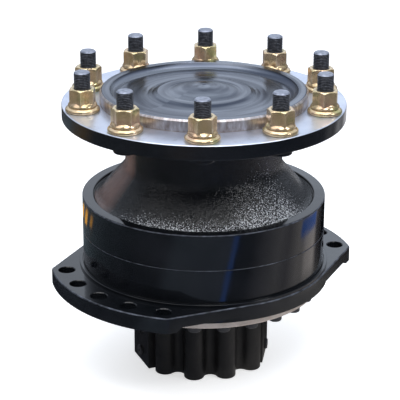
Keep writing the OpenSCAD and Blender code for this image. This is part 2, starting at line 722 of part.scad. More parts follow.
module cylinder_block() {
    color([0.42, 0.43, 0.45]) difference() {
        rotate_extrude() polygon([
            [30, block_bottom_z], [82, block_bottom_z], [block_r - 1, block_bottom_z + 8],
            [block_r, block_bottom_z + 10], [block_r, block_top_z - 2], [block_r - 2, block_top_z],
            [30, block_top_z]]);
        translate([0, 0, block_bottom_z - over])
            linear_extrude(block_top_z - block_bottom_z + 2 * over) union() {
                circle(r = spline_root_r + slot_gap);
                spline_teeth_2d(slot_gap);
            }
        ring_of(piston_count, 0) radial_hole(piston_r + fit_gap, bore_bottom_r, piston_z);
        // each bore breathes through a passage that ends in the block's rear face
        ring_of(piston_count, 0) radial_hole(4, passage_pitch_r, piston_z, bore_bottom_r + over);
        ring_of(piston_count, passage_pitch_r) translate([0, 0, block_bottom_z - over])
            cylinder(r = 4, h = piston_z - block_bottom_z + over);
    }
}

piston_foot = bore_bottom_r + 0.5;
ring_groove_x = 7;
ring_groove_w = 3;
module piston(i) {
    color([0.5, 0.51, 0.53]) rotate((i - 1) * 360 / piston_count) difference() {
        translate([piston_foot, 0, piston_z]) rotate([0, 90, 0])
            cylinder(r = piston_r, h = roller_pitch_r + piston_crown - piston_foot);
        translate([roller_pitch_r, 0, piston_z - 30]) cylinder(r = roller_r + bush_t + 2 * fit_gap, h = 60);
        translate([piston_foot - over, 0, piston_z]) rotate([0, 90, 0]) cylinder(r = 11, h = 12 + over);
        translate([piston_foot + ring_groove_x, 0, piston_z]) rotate([0, 90, 0])
            tube(piston_r + over, piston_r - 2.5, 0, ring_groove_w);
    }
}

module piston_ring(i) {
    color([0.2, 0.2, 0.22]) rotate((i - 1) * 360 / piston_count)
        translate([piston_foot + ring_groove_x + slot_gap, 0, piston_z]) rotate([0, 90, 0])
            tube(piston_r, piston_r - 2.3, 0, ring_groove_w - 2 * slot_gap);
}

// A bronze-faced shell that lines the piston's pocket, open towards the cam.
module roller_bush(i) {
    color([0.7, 0.52, 0.3]) rotate((i - 1) * 360 / piston_count) intersection() {
        difference() {
            translate([roller_pitch_r, 0, piston_z]) translate([0, 0, -roller_len / 2])
                cylinder(r = roller_r + bush_t + fit_gap, h = roller_len);
            translate([roller_pitch_r, 0, piston_z - 30]) cylinder(r = roller_r + fit_gap, h = 60);
            translate([roller_pitch_r + piston_crown - 0.4, -30, piston_z - 30]) cube([40, 60, 60]);
        }
        translate([bore_bottom_r, 0, piston_z]) rotate([0, 90, 0]) cylinder(r = piston_r - 0.1, h = 80);
    }
}

module cam_roller(i) {
    edge = 0.8;
    color([0.68, 0.69, 0.72]) rotate((i - 1) * 360 / piston_count)
        translate([roller_pitch_r, 0, piston_z - roller_len / 2]) rotate_extrude() polygon([
            [0, 0], [roller_r - edge, 0], [roller_r, edge], [roller_r, roller_len - edge],
            [roller_r - edge, roller_len], [0, roller_len]]);
}

bearing_housing();
cam_ring();
mounting_flange();
rear_cover();
housing_screws();
cover_screws();
front_bearing_cup();
rear_bearing_cup();
shaft_lip_seal();
dust_seal();
static_seals();
distributor();
distributor_spring();
distributor_pin();
cover_plugs();
wheel_flange_shaft();
wheel_studs();
wheel_nuts();
nut_washers();
front_bearing_cone();
rear_bearing_cone();
bearing_nut();
nut_lock_washer();
cylinder_block();
front_bearing_rollers();
front_bearing_cage();
rear_bearing_rollers();
rear_bearing_cage();
for (i = [1:piston_count]) {
    piston(i);
    piston_ring(i);
    roller_bush(i);
    cam_roller(i);
}
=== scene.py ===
"""The looks of a radial-piston hydraulic wheel motor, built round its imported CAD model.

Shapes are worked out in millimetres about the shaft axis and scaled to metres when a mesh is made.
"""

import json
import random
from math import acos, asin, atan, atan2, cos, degrees, pi, radians, sin, sqrt, tan

import bmesh
import bpy
from mathutils import Matrix, Vector


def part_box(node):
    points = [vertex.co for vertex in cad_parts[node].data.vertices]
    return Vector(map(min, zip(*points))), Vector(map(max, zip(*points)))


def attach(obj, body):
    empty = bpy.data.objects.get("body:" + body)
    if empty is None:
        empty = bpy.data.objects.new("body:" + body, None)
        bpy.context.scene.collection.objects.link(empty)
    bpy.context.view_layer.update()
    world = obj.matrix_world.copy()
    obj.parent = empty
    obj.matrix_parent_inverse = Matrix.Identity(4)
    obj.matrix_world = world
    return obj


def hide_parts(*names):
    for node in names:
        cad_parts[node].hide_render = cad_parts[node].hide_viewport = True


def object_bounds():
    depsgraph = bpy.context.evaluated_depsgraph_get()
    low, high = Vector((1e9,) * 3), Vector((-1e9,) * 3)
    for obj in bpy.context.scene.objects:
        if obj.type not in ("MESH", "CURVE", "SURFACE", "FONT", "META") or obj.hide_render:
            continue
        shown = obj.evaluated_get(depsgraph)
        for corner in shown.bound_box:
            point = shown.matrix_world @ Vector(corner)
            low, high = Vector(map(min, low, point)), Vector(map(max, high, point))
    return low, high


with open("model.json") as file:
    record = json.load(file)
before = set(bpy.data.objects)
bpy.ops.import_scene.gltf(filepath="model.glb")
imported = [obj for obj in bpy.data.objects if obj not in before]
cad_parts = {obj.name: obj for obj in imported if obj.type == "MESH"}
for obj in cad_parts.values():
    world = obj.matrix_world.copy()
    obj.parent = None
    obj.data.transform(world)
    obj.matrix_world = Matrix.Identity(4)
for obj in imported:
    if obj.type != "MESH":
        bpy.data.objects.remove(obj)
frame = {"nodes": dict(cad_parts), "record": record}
cad_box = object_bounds()
random.seed(7)
MM = 0.001


def mm_box(node):
    """Lowest and highest corner of a CAD node in millimetres."""
    low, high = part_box(node)
    return low / MM, high / MM


# ---------------------------------------------------------------- camera, light and floor

CAMERA_AZIMUTH = radians(-44.3)
CAMERA_RISE = radians(20.7)
CAMERA_DISTANCE = 2.2755
CAMERA_AIM = Vector((-0.0035, 0.0034, 0.2283))
CAMERA_ROLL = radians(0.22)
SENSOR_WIDTH = 36.0
LENS = 148.77


def around(azimuth, rise, distance):
    """The point at that distance from the origin; azimuth 0 is -Y, and it grows towards +X."""
    flat = cos(rise) * distance
    return Vector((sin(azimuth) * flat, -cos(azimuth) * flat, sin(rise) * distance))


def make_camera():
    data = bpy.data.cameras.new("camera")
    data.sensor_width = SENSOR_WIDTH
    data.lens = LENS
    data.clip_end = 20
    camera = bpy.data.objects.new("camera", data)
    bpy.context.scene.collection.objects.link(camera)
    camera.location = CAMERA_AIM + around(CAMERA_AZIMUTH, CAMERA_RISE, CAMERA_DISTANCE)
    aim = (CAMERA_AIM - camera.location).to_track_quat("-Z", "Y").to_matrix()
    camera.rotation_euler = (aim @ Matrix.Rotation(CAMERA_ROLL, 3, "Z")).to_euler()
    bpy.context.scene.camera = camera


def soft_light(name, azimuth, rise, distance, size, power, colour=(1, 1, 1), aim=(0, 0, 0.22)):
    """An area light round the object, facing aim. Angles are in degrees from the camera's side."""
    data = bpy.data.lights.new(name, "AREA")
    data.shape = "RECTANGLE"
    data.size, data.size_y = size
    data.energy = power
    data.color = colour
    light = bpy.data.objects.new(name, data)
    bpy.context.scene.collection.objects.link(light)
    place = around(CAMERA_AZIMUTH + radians(azimuth), radians(rise), distance) + Vector(aim)
    light.location = place
    light.rotation_euler = (Vector(aim) - place).to_track_quat("-Z", "Y").to_euler()
    light.visible_camera = False


DIM_SKY = (0.10, 0.11, 0.13, 1)
SKY_STOPS = (
    (0.70, DIM_SKY),
    (0.79, (0.28, 0.31, 0.36, 1)),
    (0.87, (0.78, 0.86, 1.0, 1)),
    (1.0, (0.84, 0.91, 1.0, 1)),
)


def make_world():
    """White to the camera. All other rays get a sky that is dark in front, and bright above and behind."""
    world = bpy.data.worlds.new("studio")
    bpy.context.scene.world = world
    world.use_nodes = True
    nodes, links = world.node_tree.nodes, world.node_tree.links
    nodes.clear()
    out = nodes.new("ShaderNodeOutputWorld")
    coords = nodes.new("ShaderNodeTexCoord")
    lean = nodes.new("ShaderNodeVectorMath")
    lean.operation = "DOT_PRODUCT"
    lean.inputs[1].default_value = around(CAMERA_AZIMUTH + pi, radians(58), 1)
    share = nodes.new("ShaderNodeMapRange")
    share.inputs["From Min"].default_value = -1.0
    ramp = nodes.new("ShaderNodeValToRGB")
    sky = nodes.new("ShaderNodeBackground")
    paper = nodes.new("ShaderNodeBackground")
    path = nodes.new("ShaderNodeLightPath")
    mix = nodes.new("ShaderNodeMixShader")
    stops = ramp.color_ramp.elements
    stops.remove(stops[1])
    stops[0].position = 0.30
    stops[0].color = DIM_SKY
    for position, colour in SKY_STOPS:
        stops.new(position).color = colour
    sky.inputs["Strength"].default_value = 1.15
    paper.inputs["Color"].default_value = (1, 1, 1, 1)
    links.new(coords.outputs["Generated"], lean.inputs[0])
    links.new(lean.outputs["Value"], share.inputs["Value"])
    links.new(share.outputs["Result"], ramp.inputs["Fac"])
    links.new(ramp.outputs["Color"], sky.inputs["Color"])
    links.new(path.outputs["Is Camera Ray"], mix.inputs["Fac"])
    links.new(sky.outputs[0], mix.inputs[1])
    links.new(paper.outputs[0], mix.inputs[2])
    links.new(mix.outputs[0], out.inputs["Surface"])
    bpy.context.scene.view_settings.view_transform = "Standard"


def make_floor():
    bm = bmesh.new()
    reach = 6.0
    sides = ((-1, -1), (1, -1), (1, 1), (-1, 1))
    bm.faces.new([bm.verts.new((x * reach, y * reach, 0)) for x, y in sides])
    floor = mesh_piece("studio_floor", bm, [floor_paper()])
    floor.location.z = cad_box[0].z - 0.0005


def make_lights():
    soft_light("overhead", 0, 82, 1.6, (1.4, 1.4), 13)
    soft_light("front_high", 10, 51, 2.0, (0.8, 0.5), 8)
    soft_light("right_high", 60, 36, 2.0, (0.45, 0.5), 9, (0.97, 0.98, 1.0))
    soft_light("key_left", -58, 44, 1.9, (1.1, 1.1), 6)
    soft_light("back_right", 161, 17, 1.2, (0.55, 0.17), 0.1, (0.74, 0.86, 1.0), aim=(0, 0, 0.2))


# ---------------------------------------------------------------- materials


class Surface:
    """A Principled material and short ways to feed its sockets."""

    def __init__(self, name, colour, metallic=0.0, roughness=0.4, **constants):
        self.material = bpy.data.materials.new(name)
        self.material.use_nodes = True
        self.nodes = self.material.node_tree.nodes
        self.links = self.material.node_tree.links
        self.shader = self.nodes["Principled BSDF"]
        self.set("Base Color", (*colour, 1))
        self.set("Metallic", metallic)
        self.set("Roughness", roughness)
        for socket, value in constants.items():
            self.set(socket.replace("_", " "), value)
        self.coords = self.nodes.new("ShaderNodeTexCoord").outputs["Object"]

    def set(self, socket, value):
        self.shader.inputs[socket].default_value = value

    def feed(self, socket, output):
        self.links.new(output, self.shader.inputs[socket])

    def math(self, operation, a, b=0.0, clamp=False):
        node = self.nodes.new("ShaderNodeMath")
        node.operation = operation
        node.use_clamp = clamp
        for i, value in enumerate((a, b)):
            if hasattr(value, "is_output"):
                self.links.new(value, node.inputs[i])
            else:
                node.inputs[i].default_value = value
        return node.outputs[0]

    def turned(self):
        """The angle, radius and height of a point about the shaft axis."""
        split = self.nodes.new("ShaderNodeSeparateXYZ")
        self.links.new(self.coords, split.inputs[0])
        angle = self.math("ARCTAN2", split.outputs["Y"], split.outputs["X"])
        squares = [self.math("MULTIPLY", split.outputs[k], split.outputs[k]) for k in "XY"]
        return angle, self.math("SQRT", self.math("ADD", *squares)), split.outputs["Z"]

    def polar(self, scale):
        """Coordinates (angle, radius, height) about the shaft axis, scaled, for turned surfaces."""
        join = self.nodes.new("ShaderNodeCombineXYZ")
        for i, value in enumerate(self.turned()):
            self.links.new(self.math("MULTIPLY", value, scale[i]), join.inputs[i])
        return join.outputs[0]

    def facing(self, turn):
        """1 that many degrees round the shaft from the camera's side, and -1 opposite."""
        angle = self.turned()[0]
        return self.math("COSINE", self.math("SUBTRACT", angle, CAMERA_AZIMUTH + radians(turn - 90)))

    def noise(self, size, detail=3.0, roughness=0.55, coords=None):
        """Noise whose grains are about size metres across, or with scale 1 on coordinates that are given."""
        node = self.nodes.new("ShaderNodeTexNoise")
        node.inputs["Scale"].default_value = 1 / size
        node.inputs["Detail"].default_value = detail
        node.inputs["Roughness"].default_value = roughness
        self.links.new(coords or self.coords, node.inputs["Vector"])
        return node.outputs["Fac"]

    def cells(self, size, coords=None):
        node = self.nodes.new("ShaderNodeTexVoronoi")
        node.inputs["Scale"].default_value = 1 / size
        self.links.new(coords or self.coords, node.inputs["Vector"])
        return node.outputs["Distance"]

    def ramp(self, value, *stops):
        """A colour ramp. Each stop is (position, colour or grey level)."""
        node = self.nodes.new("ShaderNodeValToRGB")
        elements = node.color_ramp.elements
        while len(elements) < len(stops):
            elements.new(0.5)
        for element, (position, colour) in zip(elements, stops):
            element.position = position
            shade = colour if isinstance(colour, tuple) else (colour, colour, colour)
            element.color = (*shade, 1)
        self.links.new(value, node.inputs["Fac"])
        return node.outputs["Color"]

    def window(self, value, span, soft):
        """1 where the value lies inside the span, fading to 0 outside it."""
        low, high = span
        return self.ramp(value, (low - soft, 0.0), (low, 1.0), (high, 1.0), (high + soft, 0.0))

    def mixed(self, factor, a, b):
        node = self.nodes.new("ShaderNodeMix")
        node.data_type = "RGBA"
        for socket, value in (("Factor", factor), ("A", a), ("B", b)):
            sockets = [s for s in node.inputs if s.name == socket and s.enabled]
            target = sockets[-1]
            if hasattr(value, "is_output"):
                self.links.new(value, target)
            elif socket == "Factor":
                target.default_value = value
            else:
                target.default_value = (*value, 1)
        return [s for s in node.outputs if s.enabled][-1]

    def shade(self, value, dark, light, low=0.3, high=0.7):
        """Runs the base colour from dark to light between two levels of value."""
        self.feed("Base Color", self.ramp(value, (low, dark), (high, light)))

    def rough(self, value, least, most, low=0.3, high=0.7):
        """Runs the roughness from least to most between two levels of value."""
        self.feed("Roughness", self.ramp(value, (low, least), (high, most)))

    def bump(self, height, distance, under=None):
        """A bump of that depth in metres, on top of an earlier one."""
        node = self.nodes.new("ShaderNodeBump")
        node.inputs["Distance"].default_value = distance
        node.inputs["Strength"].default_value = 1.0
        self.links.new(height, node.inputs["Height"])
        if under:
            self.links.new(under, node.inputs["Normal"])
        self.links.new(node.outputs[0], self.shader.inputs["Normal"])
        return node.outputs[0]

    def edge_wear(self, width=0.04):
        """Grows towards 1 on outside edges."""
        geometry = self.nodes.new("ShaderNodeNewGeometry")
        return self.ramp(geometry.outputs["Pointiness"], (0.5, 0.0), (0.5 + width, 1.0))


def cached(make):
    """Each material is made once."""
    made = {}

    def get():
        if "it" not in made:
            made["it"] = make()
        return made["it"]

    return get


# The floor that glossy rays see, and the camera never does: (direction from the shaft axis in degrees, with
# -90 towards the camera, and brightness of red, green and blue). The numbers were set for the
# camera's own view, so this is not a plain floor, and in other views its streaks lie elsewhere.
NEAR_MIRROR = (
    (-180, (0.05, 0.07, 0.08)), (-144, (0.03, 0.035, 0.045)), (-122, (0.04, 0.045, 0.06)),
    (-112, (0.16, 0.20, 0.25)), (-69, (0.15, 0.18, 0.24)), (-67, (0.10, 0.28, 1.0)),
    (-64.5, (0.10, 0.28, 1.0)), (-63, (0.0, 0.0, 0.0)), (-50, (0.02, 0.02, 0.03)),
    (-38, (0.22, 0.21, 0.23)), (-22, (0.42, 0.40, 0.40)),
    (-12, (0.26, 0.24, 0.25)), (2, (0.60, 0.56, 0.54)), (9, (0.56, 0.52, 0.50)), (14, (0.98, 0.90, 0.86)),
    (27, (0.95, 0.87, 0.83)), (34, (0.10, 0.09, 0.09)), (49, (0.0, 0.0, 0.0)), (92, (0.01, 0.01, 0.015)),
    (108, (0.10, 0.13, 0.15)), (150, (0.09, 0.12, 0.14)), (180, (0.05, 0.07, 0.08)),
)
CLOSE_MIRROR = (
    (-180, (0.02, 0.022, 0.03)), (-100, (0.05, 0.055, 0.07)), (-62, (0.16, 0.16, 0.17)),
    (-20, (0.45, 0.43, 0.42)), (30, (0.22, 0.21, 0.20)), (50, (0.03, 0.03, 0.03)),
    (180, (0.02, 0.022, 0.03)),
)
FAR_MIRROR = (
    (-180, (0.06, 0.07, 0.08)), (-150, (0.04, 0.045, 0.055)), (-132, (0.10, 0.07, 0.04)),
    (-118, (0.03, 0.035, 0.05)), (-60, (0.03, 0.04, 0.06)), (-35, (0.02, 0.02, 0.03)),
    (-12, (0.05, 0.05, 0.06)), (-4, (0.30, 0.30, 0.32)),
    (2, (0.10, 0.10, 0.11)), (12, (0.60, 0.60, 0.62)), (22, (0.24, 0.24, 0.26)), (34, (0.75, 0.75, 0.78)),
    (52, (0.15, 0.15, 0.17)), (90, (0.06, 0.06, 0.07)), (116, (0.14, 0.18, 0.21)), (140, (0.26, 0.17, 0.06)),
    (152, (0.05, 0.06, 0.07)), (180, (0.06, 0.07, 0.08)),
)

# Coloured patches of that floor, one blue and three orange, in place of what surrounds the real object:
# (directions from and to, distances from and to, brightness).
COLOURED_CARDS = (
    ((5, 30), (0.65, 0.72), (0.10, 0.27, 0.95)),
    ((124, 128), (0.60, 0.66), (1.6, 0.80, 0.15)),
    ((136, 142), (0.60, 0.67), (1.5, 0.72, 0.12)),
    ((150, 154), (0.63, 0.675), (1.1, 0.55, 0.12)),
)


@cached
def floor_paper():
    """Pale paper with a faint mottle. Glossy rays see the mirror tables and coloured cards instead."""
    s = Surface("pale_floor", (0.86, 0.86, 0.86), roughness=0.9)
    s.shade(s.noise(0.6, 2), (0.85, 0.85, 0.855), (0.875, 0.875, 0.875))
    s.set("Emission Color", (1, 1, 1, 1))
    s.set("Emission Strength", 0.62)
    angle, radius, _ = s.turned()
    turned = s.math("SUBTRACT", s.math("DIVIDE", angle, 2 * pi), CAMERA_AZIMUTH / (2 * pi))
    # the streaks' edges lean, so they sweep a little with distance
    lean = s.math("MULTIPLY", s.math("SUBTRACT", radius, 0.68), -0.14)
    share = s.math("FRACT", s.math("ADD", s.math("ADD", turned, lean), 0.5))
    views = []
    for stops in (CLOSE_MIRROR, NEAR_MIRROR, FAR_MIRROR):
        views.append(s.ramp(share, *[((turn + 180) / 360, shade) for turn, shade in stops]))
    beyond_cover = s.ramp(radius, (0.42, 0.0), (0.5, 1.0))
    beyond_ring = s.ramp(radius, (0.80, 0.0), (0.98, 1.0))
    mirrored = s.mixed(beyond_ring, s.mixed(beyond_cover, *views[:2]), views[2])
    for directions, radii, shade in COLOURED_CARDS:
        wide = s.window(share, [(turn + 180) / 360 for turn in directions], 0.003)
        deep = s.window(radius, radii, 0.008)
        mirrored = s.mixed(s.math("MULTIPLY", wide, deep), mirrored, shade)
    glow = s.nodes.new("ShaderNodeEmission")
    glow.inputs["Strength"].default_value = 1.15
    s.links.new(mirrored, glow.inputs["Color"])
    mix = s.nodes.new("ShaderNodeMixShader")
    s.links.new(s.nodes.new("ShaderNodeLightPath").outputs["Is Glossy Ray"], mix.inputs["Fac"])
    s.links.new(s.shader.outputs[0], mix.inputs[1])
    s.links.new(glow.outputs[0], mix.inputs[2])
    s.links.new(mix.outputs[0], s.nodes["Material Output"].inputs["Surface"])
    s.material.cycles.emission_sampling = "NONE"
    return s.material


@cached
def gloss_enamel():
    """Black enamel over machined casting: flat and glossy, with a faint orange peel and dust."""
    s = Surface("gloss_enamel", (0.006, 0.007, 0.009), roughness=0.08, IOR=1.5)
    s.shade(s.noise(0.05, 4), (0.004, 0.005, 0.0065), (0.009, 0.010, 0.0125), 0.3, 0.75)
    s.rough(s.noise(0.03, 5), 0.05, 0.13, 0.35, 0.7)
    peel = s.bump(s.noise(0.0035, 2), 0.00002)
    s.bump(s.noise(0.02, 2), 0.00008, under=peel)
    return s.material


@cached
def worn_edge():
    """A machined edge where the enamel is thin and rubbed grey."""
    s = Surface("worn_edge", (0.12, 0.13, 0.16), metallic=0.5, roughness=0.35)
    rubbed = s.noise(0.012, 5, 0.7)
    s.feed("Base Color", s.ramp(
        rubbed, (0.38, (0.02, 0.022, 0.028)), (0.56, (0.09, 0.10, 0.125)), (0.8, (0.20, 0.22, 0.27))))
    s.rough(s.noise(0.004, 4), 0.25, 0.45)
    s.bump(s.noise(0.002, 3), 0.00003)
    return s.material


@cached
def cast_enamel():
    """The same enamel over the sand-cast flare.

    Its pale specks are painted highlights and its brown tint is a painted reflection, not lit: they are
    masked by side, from the camera's azimuth, and stay on that side of the housing in every view."""
    s = Surface("cast_enamel", (0.006, 0.007, 0.009), roughness=0.16, IOR=1.5)
    enamel = s.ramp(s.noise(0.02, 4), (0.3, (0.004, 0.005, 0.006)), (0.8, (0.009, 0.0095, 0.012)))
    # painted reflection: a brown tint on one side of the flare, mixed into the base colour
    painted_brown_reflection = s.ramp(s.facing(-76), (0.94, 0.0), (0.99, 1.0))
    enamel = s.mixed(painted_brown_reflection, enamel, (0.19, 0.11, 0.09))
    # painted highlights: the pale specks lie low on the front, and reach higher up towards the right
    right = s.ramp(s.facing(50), (0.80, 0.0), (0.985, 1.0))
    reach = s.math("ADD", s.math("MULTIPLY", right, 0.084), 0.028)
    above_foot = s.math("SUBTRACT", s.turned()[2], 0.239)
    low = s.math("SUBTRACT", 1.0, s.math("DIVIDE", above_foot, reach), clamp=True)
    painted_glint_zone = s.math("MULTIPLY", low, s.ramp(s.facing(9), (0.26, 0.0), (0.72, 1.0)))
    painted_glint_noise = s.math("ADD", s.noise(0.0016, 2, 0.65), s.math("MULTIPLY", s.math("SUBTRACT", painted_glint_zone, 1.0), 0.34))
    speck = s.ramp(painted_glint_noise, (0.475, 0.0), (0.60, 1.0))
    # painted highlights: the pale specks are light painted into the base colour
    s.feed("Base Color", s.mixed(speck, enamel, (0.92, 0.95, 1.0)))
    s.rough(s.noise(0.008, 4), 0.09, 0.17, 0.35, 0.7)
    coarse = s.bump(s.noise(0.0030, 3, 0.6), 0.0010)
    s.bump(s.cells(0.0022), 0.0004, under=coarse)
    return s.material


@cached
def satin_casting():
    """Thin satin black on the rear cover's casting."""
    s = Surface("satin_casting", (0.010, 0.010, 0.011), roughness=0.38, IOR=1.45)
    s.shade(s.noise(0.03, 5), (0.006, 0.006, 0.007), (0.014, 0.013, 0.013), 0.3, 0.75)
    s.rough(s.noise(0.012, 4), 0.32, 0.5)
    wavy = s.bump(s.noise(0.012, 2), 0.0006)
    s.bump(s.noise(0.0018, 3, 0.6), 0.00025, under=wavy)
    return s.material


@cached
def faced_steel():
    """The wheel face: bare steel, faced on a lathe, pale, with faint stains."""
    s = Surface("faced_steel", (0.62, 0.66, 0.77), metallic=0.9, roughness=0.34, Anisotropic=0.3)
    grooves = s.noise(1.0, 3, 0.7, s.polar((2.0, 900.0, 0.0)))
    cloud = s.noise(0.035, 4)
    stain = s.ramp(s.noise(0.014, 5, 0.7), (0.6, 0.0), (0.74, 1.0))
    base = s.ramp(cloud, (0.3, (0.60, 0.655, 0.79)), (0.7, (0.76, 0.81, 0.93)))
    s.feed("Base Color", s.mixed(s.math("MULTIPLY", stain, 0.35), base, (0.30, 0.25, 0.23)))
    s.rough(grooves, 0.26, 0.42)
    s.bump(grooves, 0.00004)
    radial_tangent(s)
    return s.material


def radial_tangent(s):
    """Stretches highlights across the lathe's grooves."""
    node = s.nodes.new("ShaderNodeTangent")
    node.direction_type = "RADIAL"
    node.axis = "Z"
    s.links.new(node.outputs[0], s.shader.inputs["Tangent"])


@cached
def oiled_face():
    """The turned face inside the pilot: dark under its rust-proofing film, with rings left by the tool."""
    s = Surface("oiled_face", (0.14, 0.155, 0.19), metallic=1.0, roughness=0.2, Anisotropic=0.9)
    rings = s.noise(1.0, 4, 0.75, s.polar((0.6, 420.0, 0.0)))
    broad = s.noise(1.0, 2, 0.5, s.polar((0.5, 70.0, 0.0)))
    s.shade(broad, (0.055, 0.066, 0.095), (0.23, 0.25, 0.29), 0.36, 0.66)
    s.rough(rings, 0.14, 0.28, 0.3, 0.75)
    s.bump(rings, 0.00002)
    radial_tangent(s)
    return s.material


@cached
def pilot_steel():
    """The pilot's side: bare, browned, with upright smears."""
    s = Surface("pilot_steel", (0.42, 0.38, 0.36), metallic=0.9, roughness=0.36)
    smear = s.noise(1.0, 4, 0.6, s.polar((26.0, 0.0, 60.0)))
    s.feed("Base Color", s.ramp(
        smear, (0.3, (0.26, 0.21, 0.19)), (0.55, (0.50, 0.47, 0.48)), (0.75, (0.74, 0.75, 0.80))))
    turning = s.noise(1.0, 2, 0.5, s.polar((0.5, 0.0, 1400.0)))
    s.rough(turning, 0.28, 0.46)
    s.bump(turning, 0.00004)
    return s.material


@cached
def spigot_steel():
    """The chassis spigot: bare, dulled and lightly browned."""
    s = Surface("spigot_steel", (0.42, 0.37, 0.33), metallic=0.55, roughness=0.5)
    patch = s.noise(0.02, 5, 0.6)
    s.shade(patch, (0.46, 0.39, 0.34), (0.68, 0.61, 0.57))
    turning = s.noise(1.0, 2, 0.5, s.polar((0.5, 300.0, 1300.0)))
    s.rough(turning, 0.42, 0.6)
    s.bump(turning, 0.00005)
    return s.material


@cached
def yellow_zinc():
    """Yellow-passivated zinc, which shifts between straw, olive and pink."""
    s = Surface("yellow_zinc", (0.62, 0.47, 0.28), metallic=0.76, roughness=0.22)
    film = s.noise(0.018, 2, 0.45)
    shades = s.ramp(
        film, (0.28, (0.42, 0.40, 0.18)), (0.42, (0.56, 0.43, 0.24)),
        (0.58, (0.66, 0.49, 0.31)), (0.72, (0.62, 0.41, 0.28)))
    s.feed("Base Color", s.mixed(s.math("MULTIPLY", s.edge_wear(0.06), 0.35), shades, (0.95, 0.82, 0.56)))
    s.rough(s.noise(0.008, 3), 0.16, 0.26)
    s.bump(s.noise(0.006, 2), 0.00002)
    return s.material


@cached
def phosphate():
    """Dark phosphated stud thread."""
    s = Surface("phosphate", (0.012, 0.013, 0.018), roughness=0.5, IOR=1.3)
    speck = s.noise(0.0016, 4, 0.7)
    base = s.ramp(
        speck, (0.35, (0.007, 0.008, 0.011)), (0.62, (0.016, 0.018, 0.024)), (0.76, (0.07, 0.075, 0.09)))
    s.feed("Base Color", s.mixed(s.math("MULTIPLY", s.edge_wear(0.06), 0.4), base, (0.10, 0.105, 0.13)))
    s.rough(speck, 0.4, 0.6)
    s.bump(speck, 0.00008)
    return s.material


@cached
def rubbed_crest():
    """Thread crests, rubbed lighter in places."""
    s = Surface("rubbed_crest", (0.06, 0.065, 0.08), metallic=0.3, roughness=0.4)
    s.shade(s.noise(0.004, 4, 0.65), (0.015, 0.017, 0.022), (0.13, 0.14, 0.17), 0.35, 0.7)
    s.rough(s.noise(0.002, 3), 0.3, 0.5)
    s.bump(s.noise(0.0012, 3), 0.00004)
    return s.material


@cached
def rubbed_tip():
    """The faced end of a stud."""
    s = Surface("rubbed_tip", (0.26, 0.29, 0.37), metallic=0.6, roughness=0.4)
    s.shade(s.noise(0.004, 4), (0.15, 0.17, 0.22), (0.36, 0.39, 0.48))
    s.rough(s.noise(0.002, 3), 0.3, 0.5)
    s.bump(s.noise(0.0012, 3), 0.00005)
    return s.material


@cached
def black_oxide():
    s = Surface("black_oxide", (0.010, 0.010, 0.012), metallic=0.1, roughness=0.42, IOR=1.4)
    s.feed("Base Color", s.mixed(s.edge_wear(0.05), (0.009, 0.009, 0.011), (0.05, 0.05, 0.055)))
    s.rough(s.noise(0.004, 4), 0.34, 0.5)
    s.bump(s.noise(0.0015, 3), 0.00004)
    return s.material


@cached
def ground_steel():
    s = Surface("ground_steel", (0.58, 0.59, 0.61), metallic=1.0, roughness=0.2)
    s.shade(s.noise(0.02, 3), (0.52, 0.53, 0.56), (0.64, 0.65, 0.67))
    s.rough(s.noise(0.004, 4), 0.14, 0.26)
    s.bump(s.noise(0.0012, 3), 0.00001)
    return s.material


@cached
def pressed_steel():
    s = Surface("pressed_steel", (0.36, 0.36, 0.37), metallic=0.9, roughness=0.4)
    s.shade(s.noise(0.01, 4), (0.30, 0.30, 0.31), (0.42, 0.42, 0.44))
    s.bump(s.noise(0.003, 3), 0.00003)
    return s.material


@cached
def machined_iron():
    s = Surface("machined_iron", (0.22, 0.22, 0.23), metallic=0.8, roughness=0.42)
    s.shade(s.noise(0.012, 5), (0.17, 0.17, 0.18), (0.27, 0.27, 0.29))
    s.bump(s.noise(0.0012, 3), 0.00003)
    return s.material


@cached
def bronze():
    s = Surface("bronze", (0.55, 0.36, 0.17), metallic=1.0, roughness=0.3)
    s.shade(s.noise(0.006, 4), (0.46, 0.29, 0.13), (0.62, 0.43, 0.22))
    s.bump(s.noise(0.0015, 3), 0.00002)
    return s.material


@cached
def seal_rubber():
    s = Surface("seal_rubber", (0.018, 0.018, 0.018), roughness=0.55)
    s.rough(s.noise(0.003, 4), 0.45, 0.65)
    s.bump(s.noise(0.0012, 3), 0.00004)
    return s.material


@cached
def ring_polymer():
    s = Surface("ring_polymer", (0.07, 0.07, 0.075), roughness=0.45)
    s.shade(s.noise(0.003, 4), (0.05, 0.05, 0.055), (0.09, 0.09, 0.10))
    s.bump(s.noise(0.001, 3), 0.00002)
    return s.material


SLOT_LOOKS = {
    "gloss_black_paint": gloss_enamel,
    "cast_black_paint": satin_casting,
    "turned_steel": ground_steel,
    "yellow_zinc": yellow_zinc,
    "phosphate_steel": phosphate,
    "black_oxide_steel": black_oxide,
    "bearing_steel": ground_steel,
    "pressed_steel": pressed_steel,
    "hardened_steel": ground_steel,
    "block_iron": machined_iron,
    "bronze_liner": bronze,
    "seal_rubber": seal_rubber,
    "ring_polymer": ring_polymer,
}


# ---------------------------------------------------------------- mesh tools


def mark_edges(bm, sharp=34.0):
    """Shades a mesh smooth, apart from edges steeper than sharp degrees."""
    for face in bm.faces:
        face.smooth = True
    for edge in bm.edges:
        edge.smooth = len(edge.link_faces) == 2 and edge.calc_face_angle(0) < radians(sharp)


def mesh_piece(name, bm, materials, sharp=34.0):
    """An object of that mesh, with its edges marked."""
    bmesh.ops.recalc_face_normals(bm, faces=bm.faces)
    mark_edges(bm, sharp)
    mesh = bpy.data.meshes.new(name)
    bm.to_mesh(mesh)
    bm.free()
    for material in materials:
        mesh.materials.append(material)
    piece = bpy.data.objects.new(name, mesh)
    bpy.context.scene.collection.objects.link(piece)
    return piece


def polar(radius, angle):
    """The flat point at that distance and angle in degrees."""
    return radius * cos(radians(angle)), radius * sin(radians(angle))


